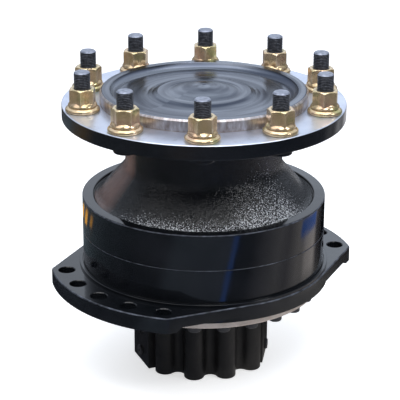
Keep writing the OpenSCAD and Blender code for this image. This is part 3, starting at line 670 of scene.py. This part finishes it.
def arc(centre, radius, start, end, steps=6):
    """Points on an arc, with angles in degrees."""
    spokes = [polar(radius, start + (end - start) * i / steps) for i in range(steps + 1)]
    return [(centre[0] + x, centre[1] + y) for x, y in spokes]


def ring_of_points(bm, radius, z, segments):
    """Points round the shaft axis at height z. radius is a number, or a function of the angle."""
    points = []
    for i in range(segments):
        a = 2 * pi * i / segments
        r = radius(a) if callable(radius) else radius
        points.append(bm.verts.new((r * MM * cos(a), r * MM * sin(a), z * MM)))
    return points


def band(bm, lower, upper, number=0):
    """Faces between two rings of equally many points, in that material."""
    for i, point in enumerate(lower):
        j = (i + 1) % len(lower)
        bm.faces.new((point, lower[j], upper[j], upper[i])).material_index = number


def hexagon(across_flats, a):
    """Distance from the middle of a hexagon to its side, at the angle a."""
    wedge = (a + pi / 6) % (pi / 3) - pi / 6
    return across_flats / 2 / cos(wedge)


def rounded(corners, steps=4):
    """A closed outline whose corners (x, y, radius) are rounded. A corner with no radius stays sharp."""
    outline = []
    for i, corner in enumerate(corners):
        point = Vector(corner[:2])
        radius = corner[2] if len(corner) > 2 else 0
        before = Vector(corners[i - 1][:2]) - point
        after = Vector(corners[(i + 1) % len(corners)][:2]) - point
        if radius <= 0:
            outline.append(tuple(point))
            continue
        half = before.angle(after) / 2
        reach = min(radius / tan(half), 0.48 * min(before.length, after.length))
        radius = reach * tan(half)
        middle = point + (before.normalized() + after.normalized()).normalized() * (radius / sin(half))
        first = point + before.normalized() * reach - middle
        last = point + after.normalized() * reach - middle
        turn = first.angle_signed(last)
        for k in range(steps + 1):
            spoke = first.copy()
            spoke.rotate(Matrix.Rotation(-turn * k / steps, 2))
            outline.append(tuple(middle + spoke))
    return outline


def supported(profile):
    """The closed outline with points added just inside the ends of long lines, so flats are shaded flat."""
    out = []
    for k, point in enumerate(profile):
        start, end = Vector(point), Vector(profile[(k + 1) % len(profile)])
        out.append(tuple(start))
        along = end - start
        if along.length > 2.5:
            step = along.normalized() * 0.3
            out += [tuple(start + step), tuple(end - step)]
    return out


def lathe(profile, segments=180, paint=None):
    """Turns a closed (radius, height) outline about Z. paint(r, z) gives a band's material number."""
    bm = bmesh.new()
    profile = supported(profile)
    rings = []
    for radius, height in profile:
        rings.append(ring_of_points(bm, radius, height, 1 if radius < 1e-6 else segments))
    for k, ring in enumerate(rings):
        following = rings[(k + 1) % len(rings)]
        if len(ring) == 1 and len(following) == 1:
            continue
        (r0, z0), (r1, z1) = profile[k], profile[(k + 1) % len(profile)]
        number = paint((r0 + r1) / 2, (z0 + z1) / 2) if paint else 0
        for i in range(segments):
            j = (i + 1) % segments
            corners = [ring[i % len(ring)], ring[j % len(ring)]]
            corners += [following[j % len(following)], following[i % len(following)]]
            unique = [v for n, v in enumerate(corners) if v not in corners[:n]]
            bm.faces.new(unique).material_index = number
    return bm


def loft(rings, bm=None, paint=None):
    """A closed solid through rings of equally many points, in millimetres, capped at both ends.

    paint(z) gives the material number of the band whose middle lies at height z."""
    bm = bm or bmesh.new()
    made = [[bm.verts.new((x * MM, y * MM, z * MM)) for x, y, z in ring] for ring in rings]
    for k, (lower, upper) in enumerate(zip(made, made[1:])):
        band(bm, lower, upper, paint((rings[k][0][2] + rings[k + 1][0][2]) / 2) if paint else 0)
    bm.faces.new(made[0][::-1])
    bm.faces.new(made[-1])
    return bm


def inset(outline, distance):
    """A smooth or convex outline moved inwards by distance."""
    moved = []
    count = len(outline)
    for i in range(count):
        a, b, c = (Vector(outline[(i + k) % count]) for k in (-1, 0, 1))
        u, v = (b - a).normalized(), (c - b).normalized()
        normal = Vector((-(u.y + v.y), u.x + v.x)).normalized()
        lean = max(0.5, cos(u.angle(v) / 2))
        moved.append(tuple(b + normal * distance / lean))
    return moved


def at_height(outline, z):
    return [(x, y, z) for x, y in outline]


def edge_rounded(outline, low, high, low_edge, high_edge, steps=3):
    """Rings of an upright prism with rounded edges. Close rings beside them keep its flats shaded flat."""
    hold = 0.3
    quarter = [(1 - cos(a), 1 - sin(a)) for a in [pi / 2 * k / steps for k in range(steps + 1)]]
    rings = [at_height(inset(outline, low_edge + hold), low)]
    for rise, back in quarter:
        rings.append(at_height(inset(outline, low_edge * back), low + low_edge * rise))
    rings.append(at_height(outline, low + low_edge + hold))
    rings.append(at_height(outline, high - high_edge - hold))
    for back, drop in quarter:
        rings.append(at_height(inset(outline, high_edge * back), high - high_edge * drop))
    rings.append(at_height(inset(outline, high_edge + hold), high))
    return rings


def add_copy(target, source, matrix):
    """Adds a moved copy of source's mesh to target."""
    mesh = bpy.data.meshes.new("copy")
    source.to_mesh(mesh)
    mesh.transform(matrix)
    target.from_mesh(mesh)
    bpy.data.meshes.remove(mesh)


def apply_modifiers(piece):
    """Replaces a piece's mesh by what its modifiers make of it."""
    shown = piece.evaluated_get(bpy.context.evaluated_depsgraph_get())
    mesh = bpy.data.meshes.new_from_object(shown)
    piece.modifiers.clear()
    piece.data = mesh


def joined_by(piece, operation, other):
    """Cuts or adds other, and removes it."""
    boolean = piece.modifiers.new("boolean", "BOOLEAN")
    boolean.operation = operation
    boolean.solver = "MANIFOLD"
    boolean.object = other
    apply_modifiers(piece)
    bpy.data.objects.remove(other)


def crisp(piece):
    """Cleans a mesh and marks its edges again after a boolean."""
    bm = bmesh.new()
    bm.from_mesh(piece.data)
    bmesh.ops.remove_doubles(bm, verts=bm.verts, dist=1e-6)
    bmesh.ops.dissolve_degenerate(bm, edges=bm.edges, dist=1e-7)
    mark_edges(bm)
    bm.to_mesh(piece.data)
    bm.free()


def around_axis(angle, radius, z=0.0, turn=0.0):
    """Placement at an angle and radius from the shaft axis, in degrees and millimetres, turned on itself."""
    out = Matrix.Rotation(radians(angle), 4, "Z") @ Matrix.Translation((radius * MM, 0, z * MM))
    return out @ Matrix.Rotation(radians(turn), 4, "Z")


def lying(angle, radius, z):
    """Placement whose own Z axis points straight out from the shaft axis."""
    return around_axis(angle, radius, z) @ Matrix.Rotation(pi / 2, 4, "Y")


# ---------------------------------------------------------------- sizes

HOUSING_LOW, HOUSING_HIGH = mm_box("bearing_housing")
BODY_R = HOUSING_HIGH.x
CAM_TOP = HOUSING_LOW.z
NECK_TOP = HOUSING_HIGH.z
SHOULDER_TOP = 242.0
NECK_R = 107.0
CAM_BOTTOM = mm_box("cam_ring")[0].z
FLANGE_LOW, FLANGE_HIGH = mm_box("mounting_flange")
SPIGOT_BOTTOM = FLANGE_LOW.z
LUG_R = FLANGE_HIGH.x
LUG_TOP = FLANGE_HIGH.z - 3.5
LUG_BOTTOM = LUG_TOP - 22.0
WAIST_R = 173.5
SEAT_R = 172.0
SPIGOT_R = 160.0
LUG_HALF_ANGLE = 34.5
LUG_CORNER_R = 8.0
LUG_HOLES_R = 192.5
LUG_HOLE_R = 11.0
LUG_HOLE_STEP = 15.0
STUDS_LOW, STUDS_HIGH = mm_box("wheel_studs")
STUD_TOP = STUDS_HIGH.z
STUD_R = 11.0
STUD_COUNT = 10
STUD_START = 9.0
STUD_PITCH_R = 167.5
NUT_LOW, NUT_HIGH = mm_box("wheel_nuts")
WASHER_LOW, WASHER_HIGH = mm_box("nut_washers")
WHEEL_FACE = WASHER_LOW.z
WHEEL_R = mm_box("wheel_flange_shaft")[1].y
WHEEL_BACK = WHEEL_FACE - 20.0
PILOT_R = 140.4
PILOT_TOP = WHEEL_FACE + 16.6
WASHER_R = 23.2
COVER_TOP = SPIGOT_BOTTOM


# ---------------------------------------------------------------- stationary casings


def flare(top_r, foot):
    """The hollow under the neck, the straight slope and the gentler foot, as (radius, height) points."""
    steep, flat = 41.0, 65.0
    neck_hollow, foot_hollow = 22.0, 26.0
    across, up = polar(foot_hollow, flat)
    foot_c = (foot[0] + across, foot[1] + up)
    lower = arc(foot_c, foot_hollow, 180 + steep, 180 + flat, 10)
    top_c_r = top_r + neck_hollow
    run = lower[0][0] - (top_c_r - neck_hollow * cos(radians(steep)))
    top_c_z = lower[0][1] + run / tan(radians(steep)) + neck_hollow * sin(radians(steep))
    return arc((top_c_r, top_c_z), neck_hollow, 180, 180 + steep, 12) + lower


def make_bearing_housing():
    ring_in = 151.4
    slope = flare(NECK_R, (149.6, SHOULDER_TOP - 3))
    outer = [(NECK_R - 2.2, NECK_TOP), (NECK_R - 0.7, NECK_TOP - 0.7), (NECK_R, NECK_TOP - 2.2)]
    recess = [(ring_in - 0.8, SHOULDER_TOP - 4.4), (ring_in, SHOULDER_TOP - 3.6)]
    inner_edge, outer_edge, foot_edge = 1.3, 1.6, 0.7
    edge = arc((ring_in + inner_edge, SHOULDER_TOP - inner_edge), inner_edge, 180, 90, 4)
    edge += arc((BODY_R - outer_edge, SHOULDER_TOP - outer_edge), outer_edge, 90, 0, 5)
    foot = arc((BODY_R - foot_edge, CAM_TOP + foot_edge), foot_edge, 0, -90, 3)
    chamber_r, chamber_h = 114, 14
    rear_cup_r, between_r, front_cup_r = 86, 79, 95
    rear_cup_top, front_cup_foot = 244, 301
    inside = [(chamber_r, CAM_TOP), (chamber_r, CAM_TOP + chamber_h), (rear_cup_r + 6, CAM_TOP + chamber_h)]
    inside += [(rear_cup_r, CAM_TOP + chamber_h + 1), (rear_cup_r, rear_cup_top), (between_r, rear_cup_top)]
    inside += [(between_r, front_cup_foot), (front_cup_r, front_cup_foot)]
    inside += [(front_cup_r, NECK_TOP - 1.5), (front_cup_r + 1.5, NECK_TOP)]
    profile = outer + slope + recess + edge + foot + inside

    def paint(r, z):
        if r > BODY_R - 1.1 and z > SHOULDER_TOP - outer_edge:
            return 2
        return 1 if r > ring_in - 2 or z < SHOULDER_TOP - 5 and r > chamber_r - 2 else 0

    looks = [cast_enamel(), gloss_enamel(), worn_edge()]
    housing = mesh_piece("bearing_housing_casting", lathe(profile, 240, paint), looks)
    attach(housing, "housing")
    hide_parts("bearing_housing")


def make_cam_ring():
    edge = 0.7
    low, high = CAM_BOTTOM, CAM_TOP
    profile = arc((BODY_R - edge, low + edge), edge, -90, 0, 3)
    profile += [(BODY_R, low + edge + 0.3), (BODY_R, high - edge - 0.3)]
    profile += arc((BODY_R - edge, high - edge), edge, 0, 90, 3) + [(BODY_R - edge - 0.3, high)]
    track_r, track_wave, lobes, first_lobe = 123.0, 8.0, 6, radians(7.5)
    bm = bmesh.new()
    segments = 360
    rings = [ring_of_points(bm, radius, height, segments) for radius, height in profile]
    for height in (high, low):
        rings.append(ring_of_points(
            bm, lambda a: track_r + track_wave * cos(lobes * (a - first_lobe)), height, segments))
    for k, ring in enumerate(rings):
        # the track comes last but one, and the worn top edge after the outer wall's six rings
        look = 1 if k == len(rings) - 2 else 2 if 6 <= k < 9 else 0
        band(bm, ring, rings[(k + 1) % len(rings)], look)
    ring = mesh_piece("cam_ring_body", bm, [gloss_enamel(), ground_steel(), worn_edge()])
    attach(ring, "housing")
    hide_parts("cam_ring")


def lug_outline(waist):
    """Round-cornered lugs joined by tangents to a round waist, anticlockwise."""
    centre_r = LUG_R - LUG_CORNER_R
    corner = LUG_HALF_ANGLE - degrees(asin(LUG_CORNER_R / centre_r))
    lean = degrees(acos((waist - LUG_CORNER_R) / centre_r))
    touch = corner + lean
    outline = []
    for side in (0, 180):
        for sign in (-1, 1):
            c = polar(centre_r, side + sign * corner)
            if sign < 0:
                outline += arc(c, LUG_CORNER_R, side - touch, side - corner, 6)
                outline += arc((0, 0), LUG_R, side - corner, side + corner, 30)[1:-1]
            else:
                outline += arc(c, LUG_CORNER_R, side + corner, side + touch, 6)
        waist_end = side + 180 - touch
        outline += arc((0, 0), waist, side + touch, waist_end, 26)
    return outline


def hole_cutters():
    """The ten chassis holes, each flared a little at both faces."""
    flare_r, r = LUG_HOLE_R + 1.0, LUG_HOLE_R
    low, high = LUG_BOTTOM, LUG_TOP
    below = [(0, low - 6), (flare_r + 6, low - 6), (r, low + 1.0)]
    above = [(r, high - 1.0), (flare_r + 5, high + 5), (0, high + 5)]
    one = lathe(below + above, 48)
    bm = bmesh.new()
    for side in (0, 180):
        for i in range(-2, 3):
            add_copy(bm, one, around_axis(side + i * LUG_HOLE_STEP, LUG_HOLES_R))
    one.free()
    return mesh_piece("hole_cutters", bm, [])


def web_cutters():
    """What is taken off under the waist's ends: past a lug the plate thins to a web above a round disc."""
    web = 6.5
    disc_r = WAIST_R - 0.6
    centre_r = LUG_R - LUG_CORNER_R
    lean = degrees(acos((WAIST_R - LUG_CORNER_R) / centre_r))
    c_angle = LUG_HALF_ANGLE - degrees(asin(LUG_CORNER_R / centre_r))
    touch = c_angle + lean
    corner = Vector(polar(LUG_R, c_angle))
    out = Vector(polar(1, touch))
    along = Vector((-out.y, out.x))
    bm = bmesh.new()
    for side in (0, 180):
        for sign in (-1, 1):
            rings = []
            for z, reach in ((LUG_BOTTOM - 1.5, 12.5), (LUG_BOTTOM, 14.0), (LUG_BOTTOM + web, 24.0)):
                start = corner + along * reach
                near = start - out * 34
                near_angle = degrees(atan2(near.y, near.x))
                wall = arc((0, 0), disc_r, near_angle, 92, 24)
                outline = [tuple(start + out * 20), tuple(start + along * 120 + out * 20)] + wall[::-1]
                ring = [(x, sign * y, z) for x, y in outline]
                turn = Matrix.Rotation(radians(side), 3, "Z")
                rings.append([tuple(turn @ Vector(p)) for p in ring])
            loft(rings, bm)
    return mesh_piece("web_cutters", bm, [])


def make_mounting_flange():
    plate_rings = edge_rounded(lug_outline(WAIST_R), LUG_BOTTOM, LUG_TOP, 1.2, 1.6)
    solid = loft(plate_rings, paint=lambda z: 1 if LUG_TOP - 1.5 < z < LUG_TOP - 0.01 else 0)
    plate = mesh_piece("mounting_flange_plate", solid, [gloss_enamel(), worn_edge()])
    joined_by(plate, "DIFFERENCE", web_cutters())
    joined_by(plate, "DIFFERENCE", hole_cutters())
    bore_r, below, above = 128, LUG_BOTTOM - 11.5, LUG_TOP + 16.5
    bore = [(0, below), (bore_r, below), (bore_r, above), (0, above)]
    joined_by(plate, "DIFFERENCE", mesh_piece("bore", lathe(bore, 120), []))
    crisp(plate)
    # the seat stands on the plate; a fine groove parts it from the cam ring
    groove = CAM_BOTTOM - 0.9
    seat = [(bore_r + 1, LUG_TOP - 0.5), (SEAT_R, LUG_TOP - 0.5), (SEAT_R, CAM_BOTTOM - 0.05, 0.6)]
    seat += [(BODY_R + 1.2, CAM_BOTTOM - 0.05, 0.3), (BODY_R + 0.9, groove, 0.2)]
    seat += [(BODY_R - 0.5, groove, 0.2), (BODY_R - 0.9, CAM_BOTTOM - 0.02), (bore_r + 1, CAM_BOTTOM - 0.02)]
    step = mesh_piece("cam_ring_seat", lathe(rounded(seat), 240), [gloss_enamel()])
    inner_r, top = 74, LUG_BOTTOM + 0.2
    wall = [(inner_r, SPIGOT_BOTTOM), (SPIGOT_R, SPIGOT_BOTTOM, 1.4), (SPIGOT_R, top), (inner_r, top)]
    looks = [spigot_steel(), satin_casting()]
    turned = lathe(rounded(wall), 240, lambda r, z: 0 if r > SPIGOT_R - 2 else 1)
    spigot = mesh_piece("chassis_spigot", turned, looks)
    for piece, slot in ((plate, "gloss_black_paint"), (step, "gloss_black_paint"), (spigot, "turned_steel")):
        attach(piece, "housing")
    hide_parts("mounting_flange")


# ---------------------------------------------------------------- rear cover

LOBE_COUNT = 12
LOBE_START = 7.5
LOBE_R = 14.0
LOBE_PITCH_R = 84.0
VALLEY_R = 79.0
PADS = {1: 91.5, 3: 91.5, 5: 93.0, 10: 88.5}
PAD_HALF_WIDTH = 29.0
PORT_Z = 58.0


def lobe_angle(i):
    return LOBE_START + i * 360 / LOBE_COUNT


def lobed_radius(angle):
    """Distance from the axis to the cover's lobed side at an angle in degrees, without the pads."""
    half = 180 / LOBE_COUNT
    off = (angle - LOBE_START + half) % (2 * half) - half
    a = radians(abs(off))
    h = radians(half)
    p, v, r = LOBE_PITCH_R, VALLEY_R, LOBE_R
    cut = (p * p + v * v - 2 * p * v * cos(h) - r * r) / (2 * (r + p * cos(h) - v))
    valley = v + cut
    # the lobe's circle holds up to the touching point, and the valley's circle beyond it
    reach = p * sin(a)
    lobe_c = Vector((p, 0))
    valley_c = Vector((valley * cos(h), valley * sin(h)))
    touch = lobe_c + (valley_c - lobe_c).normalized() * r
    if a <= atan2(touch.y, touch.x):
        return p * cos(a) + sqrt(max(r * r - reach * reach, 0))
    b = h - a
    return valley * cos(b) - sqrt(max(cut * cut - (valley * sin(b)) ** 2, 0))


def cover_radius(angle):
    """As lobed_radius, with the flat port pads in place of some lobes."""
    radius = lobed_radius(angle)
    for lobe, face in PADS.items():
        off = radians((angle - lobe_angle(lobe) + 180) % 360 - 180)
        if abs(off) > radians(40):
            continue
        flat = face / cos(off)
        side = PAD_HALF_WIDTH / max(abs(sin(off)), 1e-6)
        if abs(off) < radians(14):
            radius = min(radius, flat)
        radius = max(radius, min(flat, side)) if min(flat, side) > 70 else radius
    return radius


def make_rear_cover():
    count = 900
    angles = [360 * i / count for i in range(count)]
    outline = [polar(cover_radius(a), a) for a in angles]
    rings = edge_rounded(outline, 0.0, COVER_TOP - 4.0, 1.8, 1.0, 4)
    rings.append(at_height(inset(outline, 1.2), COVER_TOP - 0.2))
    cover = mesh_piece("rear_cover_casting", loft(rings), [satin_casting(), machined_iron()])
    cutters = bmesh.new()
    recess = lathe([(0, -5), (46, -5), (46, 1.4), (45.4, 2.0), (0, 2.0)], 96)
    add_copy(cutters, recess, Matrix())
    recess.free()
    sink = lathe([(0, -5), (12.4, -5), (11.8, 0.6), (10.8, 1.4), (10.8, 15), (0, 15)], 48)
    for i in range(LOBE_COUNT):
        if i not in PADS:
            add_copy(cutters, sink, around_axis(lobe_angle(i), LOBE_PITCH_R))
    sink.free()
    for lobe, radius, pitch, spot in ((1, 15.5, 2.0, 22.0), (3, 15.5, 2.0, 22.0), (5, 10.2, 1.5, 16.0)):
        face = PADS[lobe]
        port = port_cutter(radius, pitch, spot)
        add_copy(cutters, port, lying(lobe_angle(lobe), face, PORT_Z))
        port.free()
    joined_by(cover, "DIFFERENCE", mesh_piece("cutters", cutters, []))
    crisp(cover)
    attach(cover, "housing")
    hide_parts("rear_cover")


def port_cutter(radius, pitch, spot):
    """A threaded port's void, along its own Z, with its face at 0: spot face, lead-in and thread rings."""
    depth = 18.0
    profile = [(0, 6), (spot, 6), (spot, -1.0), (radius + 2.2, -1.0), (radius + 0.6, -2.6)]
    z = -3.0
    while z > -depth:
        profile += [(radius, z), (radius + 0.9, z - pitch / 2)]
        z -= pitch
    profile += [(radius, z), (radius, -depth - 2), (0, -depth - 2)]
    return lathe(profile, 64)


def socket_screw(head_r, head_h, key, shank_r, shank):
    """A socket-head screw standing head down on z = 0: the head below, the shank above."""
    bm = bmesh.new()
    head = [(key / 2 + 1.2, -head_h, 0), (head_r - 0.9, -head_h, 0.5), (head_r, -head_h + 1.2, 0.6)]
    head += [(head_r, 0, 0.5), (shank_r, 0), (shank_r, shank, 0.8), (0, shank)]
    segments = 48
    # the hexagon socket joins the head's round face
    rings = [ring_of_points(bm, lambda a: hexagon(key, a), z, segments) for z in (-head_h * 0.45, -head_h)]
    bm.faces.new(rings[0])
    rings += [ring_of_points(bm, radius, height, segments) for radius, height in rounded(head, 2)[1:-1]]
    for lower, upper in zip(rings, rings[1:]):
        band(bm, lower, upper)
    bm.faces.new(rings[-1][::-1])
    return bm


def make_screws():
    seat = SPIGOT_BOTTOM + 4.0
    one = socket_screw(9.0, 12.0, 10.0, 6.0, 60.0)
    bm = bmesh.new()
    for i in range(24):
        add_copy(bm, one, around_axis(11.25 + 15 * i, 148.0, seat, random.uniform(0, 60)))
    one.free()
    housing_screws = mesh_piece("housing_screw_set", bm, [black_oxide()])
    one = socket_screw(10.5, 14.0, 12.0, 7.0, 60.0)
    bm = bmesh.new()
    for i in range(LOBE_COUNT):
        if i not in PADS:
            add_copy(bm, one, around_axis(lobe_angle(i), LOBE_PITCH_R, 15.0, random.uniform(0, 60)))
    one.free()
    cover_screws = mesh_piece("cover_screw_set", bm, [black_oxide()])
    for piece, node in ((housing_screws, "housing_screws"), (cover_screws, "cover_screws")):
        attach(piece, "housing")
        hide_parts(node)


def make_plugs():
    one = socket_screw(7.5, 3.5, 5.0, 4.9, 9.0)
    bm = bmesh.new()
    places = [(lobe, face, 17.0) for lobe, face in PADS.items()] + [(10, PADS[10], 77.0)]
    for lobe, face, z in places:
        add_copy(bm, one, lying(lobe_angle(lobe), face, z) @ Matrix.Rotation(pi, 4, "X"))
    one.free()
    plugs = mesh_piece("cover_plug_set", bm, [black_oxide()])
    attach(plugs, "housing")
    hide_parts("cover_plugs")


# ---------------------------------------------------------------- wheel flange, studs and nuts

RIM_IN_R = 127.0
RING_OUT_R = 62.0
RING_IN_R = 49.5


def turned_face():
    """From the pilot's rim in to the axis: rim, trough, raised ring, domed centre with its centre drill."""
    t = PILOT_TOP
    wall = arc((RIM_IN_R - 14, t + 8.4), 16.2, -31, -80, 10)
    ring = [(84, t - 7.9), (76, t - 7.4), (70, t - 6.3), (65.5, t - 4.7)]
    ring += [(63.4, t - 3.6), (RING_OUT_R, t - 3.2)]
    step = [(RING_IN_R + 0.8, t - 3.2), (RING_IN_R, t - 3.7)]
    dome = []
    for i in range(1, 15):
        r = RING_IN_R - (RING_IN_R - 2.6) * i / 14
        dome.append((r, t - 4.4 + 9.8 * (1 - (r / RING_IN_R) ** 2)))
    drill = [(2.2, t + 5.0), (0.8, t + 3.4), (0, t + 2.6)]
    return [(RIM_IN_R, t)] + wall + [(102, t - 8.0)] + ring + step + dome + drill


def make_wheel_flange():
    seal_r, face = 78.0, WHEEL_FACE
    shaft = [(0, 199), (47, 199), (48, 200), (48, 207.5), (50, 208.5), (50, 252), (58, 254), (58, 296)]
    shaft += [(66, 299), (66, 339), (77, 339), (78, 340), (seal_r, WHEEL_BACK - 4)]
    shaft += [(seal_r + 1.2, WHEEL_BACK - 1.2), (seal_r + 4, WHEEL_BACK)]
    back_edge, face_edge = 1.4, 1.5
    rim = arc((WHEEL_R - back_edge, WHEEL_BACK + back_edge), back_edge, -90, 0, 4)
    rim += arc((WHEEL_R - face_edge, face - face_edge), face_edge, 0, 90, 5)
    undercut = ((0.2, 0), (-0.8, 0.3), (-0.8, 2.2), (0, 2.9))
    foot = [(PILOT_R + out, face + up) for out, up in undercut]
    lead_in = ((0, 3.0), (0.4, 2.4), (2.6, 0.3), (3.2, 0))
    pilot = foot + [(PILOT_R - back, PILOT_TOP - down) for back, down in lead_in]
    profile = shaft + rim + pilot + turned_face()

    def paint(r, z):
        if z >= face - 0.3 and r > PILOT_R + 0.1:
            return 1
        if z > face - 1.2 and r > WHEEL_R - 1.6:
            return 1
        if r > PILOT_R - 2.8 and z > face:
            return 2
        if z > face:
            return 3
        return 0 if r > seal_r + 1 else 4

    looks = [gloss_enamel(), faced_steel(), pilot_steel(), oiled_face(), ground_steel()]
    flange = mesh_piece("wheel_flange_turned", lathe(profile, 300, paint), looks)
    spline = mesh_piece("shaft_spline", spline_solid(), [ground_steel()])
    for piece, slot in ((flange, "turned_steel"), (spline, "turned_steel")):
        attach(piece, "rotor")
    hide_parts("wheel_flange_shaft")


def spline_solid():
    """The splined end that drives the cylinder block."""
    root, tip, teeth = 40.0, 44.0, 24
    outline = []
    for i in range(teeth):
        a = 360 * i / teeth
        outline += [polar(r, a + off) for r, off in ((root, -4.6), (tip, -2.9), (tip, 2.9), (root, 4.6))]
    return loft([at_height(outline, 128.0), at_height(outline, 199.5)])


def threaded_rod(radius, pitch, low, high, segments=40):
    """An upright rod with a helical thread, whose crests and chamfered tip take their own materials."""
    depth = 0.5 * pitch
    rows_per_turn = 8
    rows = int((high - low) / pitch * rows_per_turn)
    chamfer = 1.8
    bm = bmesh.new()

    def thread_radius(a, z):
        at_tip = radius - max(0.0, chamfer - (high - z))
        return min(radius - depth * (1 - thread_rise(z / pitch - a / 2 / pi)), at_tip)

    rings = []
    for row in range(rows + 1):
        z = low + (high - low) * row / rows
        rings.append(ring_of_points(bm, lambda a: thread_radius(a, z), z, segments))
    for row, (lower, upper) in enumerate(zip(rings, rings[1:])):
        z = low + (high - low) * (row + 0.5) / rows
        for i in range(segments):
            j = (i + 1) % segments
            on_tip = z > high - chamfer
            on_crest = thread_rise(z / pitch - (i + 0.5) / segments) > 0.75
            face = bm.faces.new((lower[i], lower[j], upper[j], upper[i]))
            face.material_index = 1 if on_tip else 2 if on_crest else 0
    bm.faces.new(rings[0][::-1])
    tip = [bm.verts.new((v.co.x * 0.9, v.co.y * 0.9, v.co.z)) for v in rings[-1]]
    band(bm, rings[-1], tip, 1)
    bm.faces.new(tip).material_index = 1
    return bm


def thread_rise(turns):
    """How far a thread stands out, from root 0 to crest 1, after that many turns up the helix."""
    return min(1.0, max(0.0, 1.35 - 2.7 * abs(turns % 1 - 0.5)))


def make_studs():
    one = bmesh.new()
    rod = threaded_rod(STUD_R - 0.05, 2.2, NUT_HIGH.z - 4, STUD_TOP)
    add_copy(one, rod, Matrix())
    rod.free()
    low = STUDS_LOW.z
    head_r = 16
    joint = NUT_HIGH.z - 3.5
    outline = [(0, low), (head_r, low, 1.6), (head_r, WHEEL_BACK, 0.3)]
    outline += [(STUD_R, WHEEL_BACK), (STUD_R, joint), (0, joint)]
    body = lathe(rounded(outline), 48, lambda r, z: 3 if z < WHEEL_BACK else 0)
    add_copy(one, body, Matrix())
    body.free()
    bm = bmesh.new()
    for i in range(STUD_COUNT):
        add_copy(bm, one, around_axis(STUD_START + 36 * i, STUD_PITCH_R, 0, random.uniform(0, 360)))
    one.free()
    studs = mesh_piece("wheel_stud_set", bm, [phosphate(), rubbed_tip(), rubbed_crest(), gloss_enamel()])
    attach(studs, "rotor")
    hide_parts("wheel_studs")


def nut_shape():
    """A flange nut on z = 0: a short round skirt, then a hexagon chamfered at both ends, with a bore."""
    flats, height = 32.0, NUT_HIGH.z - NUT_LOW.z
    skirt_r = 19.4
    corner_r = 18.6
    bore = STUD_R + 0.2
    bm = bmesh.new()
    rings = []

    def ring(z, radius):
        rings.append(ring_of_points(bm, radius, z, 96))

    ring(0.0, bore)
    for z, back in ((0.0, 1.2), (0.3, 0.4), (1.0, 0), (1.8, 0)):
        ring(z, skirt_r - back)
    # the skirt's slope runs into the hexagon's sides
    for k, skirt in enumerate((19.2, 18.8, 18.4, 17.9, 17.4, 16.8, 16.3, 15.8)):
        ring(2.4 + 0.6 * k, lambda a: max(min(hexagon(flats, a), corner_r), skirt))
    for down, limit in ((2.2, corner_r), (1.7, 18.0), (1.1, 17.1), (0.5, 16.1), (0, 15.2)):
        ring(height - down, lambda a: min(hexagon(flats, a), limit))
    ring(height, bore + 1.6)
    ring(height - 1.4, bore)
    for k, lower in enumerate(rings):
        band(bm, lower, rings[(k + 1) % len(rings)])
    return bm


def washer_shape():
    """The captive washer under a nut: a thick disc with a rounded rim and a raised collar."""
    height = WASHER_HIGH.z - WASHER_LOW.z
    outer = WASHER_R
    corners = [(STUD_R + 0.6, 0), (outer - 1.6, 0, 0.6), (outer, 1.8, 1.8), (outer - 0.3, 4.6, 2.6)]
    corners += [(outer - 3.0, height - 0.9, 1.2), (18.4, height, 0.6), (STUD_R + 0.6, height)]
    return lathe(rounded(corners, 6), 72)


# Where each nut stopped turning: the degrees from straight towards the camera to one of its corners.
NUT_CORNERS = [6.5, 0, -11, 36, -9, -37, -20, 18, -3.5, 19]


def make_nuts():
    nut, washer = nut_shape(), washer_shape()
    nuts, washers = bmesh.new(), bmesh.new()
    front = degrees(CAMERA_AZIMUTH) - 90
    for i, corner in enumerate(NUT_CORNERS):
        place = STUD_START + 36 * i
        aside = STUD_PITCH_R * cos(radians(place - front - 90)) * MM
        turn = front - degrees(atan(aside / CAMERA_DISTANCE)) + corner - place - 30
        add_copy(nuts, nut, around_axis(place, STUD_PITCH_R, NUT_LOW.z, turn))
        add_copy(washers, washer, around_axis(place, STUD_PITCH_R, WASHER_LOW.z, turn))
    nut.free()
    washer.free()
    sets = ((nuts, "wheel_nut_set", "wheel_nuts"), (washers, "captive_washer_set", "nut_washers"))
    for bm, name, node in sets:
        piece = mesh_piece(name, bm, [yellow_zinc()], sharp=24.0)
        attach(piece, "rotor")
        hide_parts(node)


# ---------------------------------------------------------------- inner parts


def dress_inner_parts():
    """The CAD's own inner pieces keep their shapes and take the material of their slot."""
    slots = {part["node"]: part["material_slot"] for part in frame["record"]["subparts"]}
    for name, node in frame["nodes"].items():
        look = SLOT_LOOKS[slots[name]]()
        node.data.materials.clear()
        node.data.materials.append(look)


make_camera()
make_world()
make_lights()
make_floor()
dress_inner_parts()
make_bearing_housing()
make_cam_ring()
make_mounting_flange()
make_rear_cover()
make_screws()
make_plugs()
make_wheel_flange()
make_studs()
make_nuts()
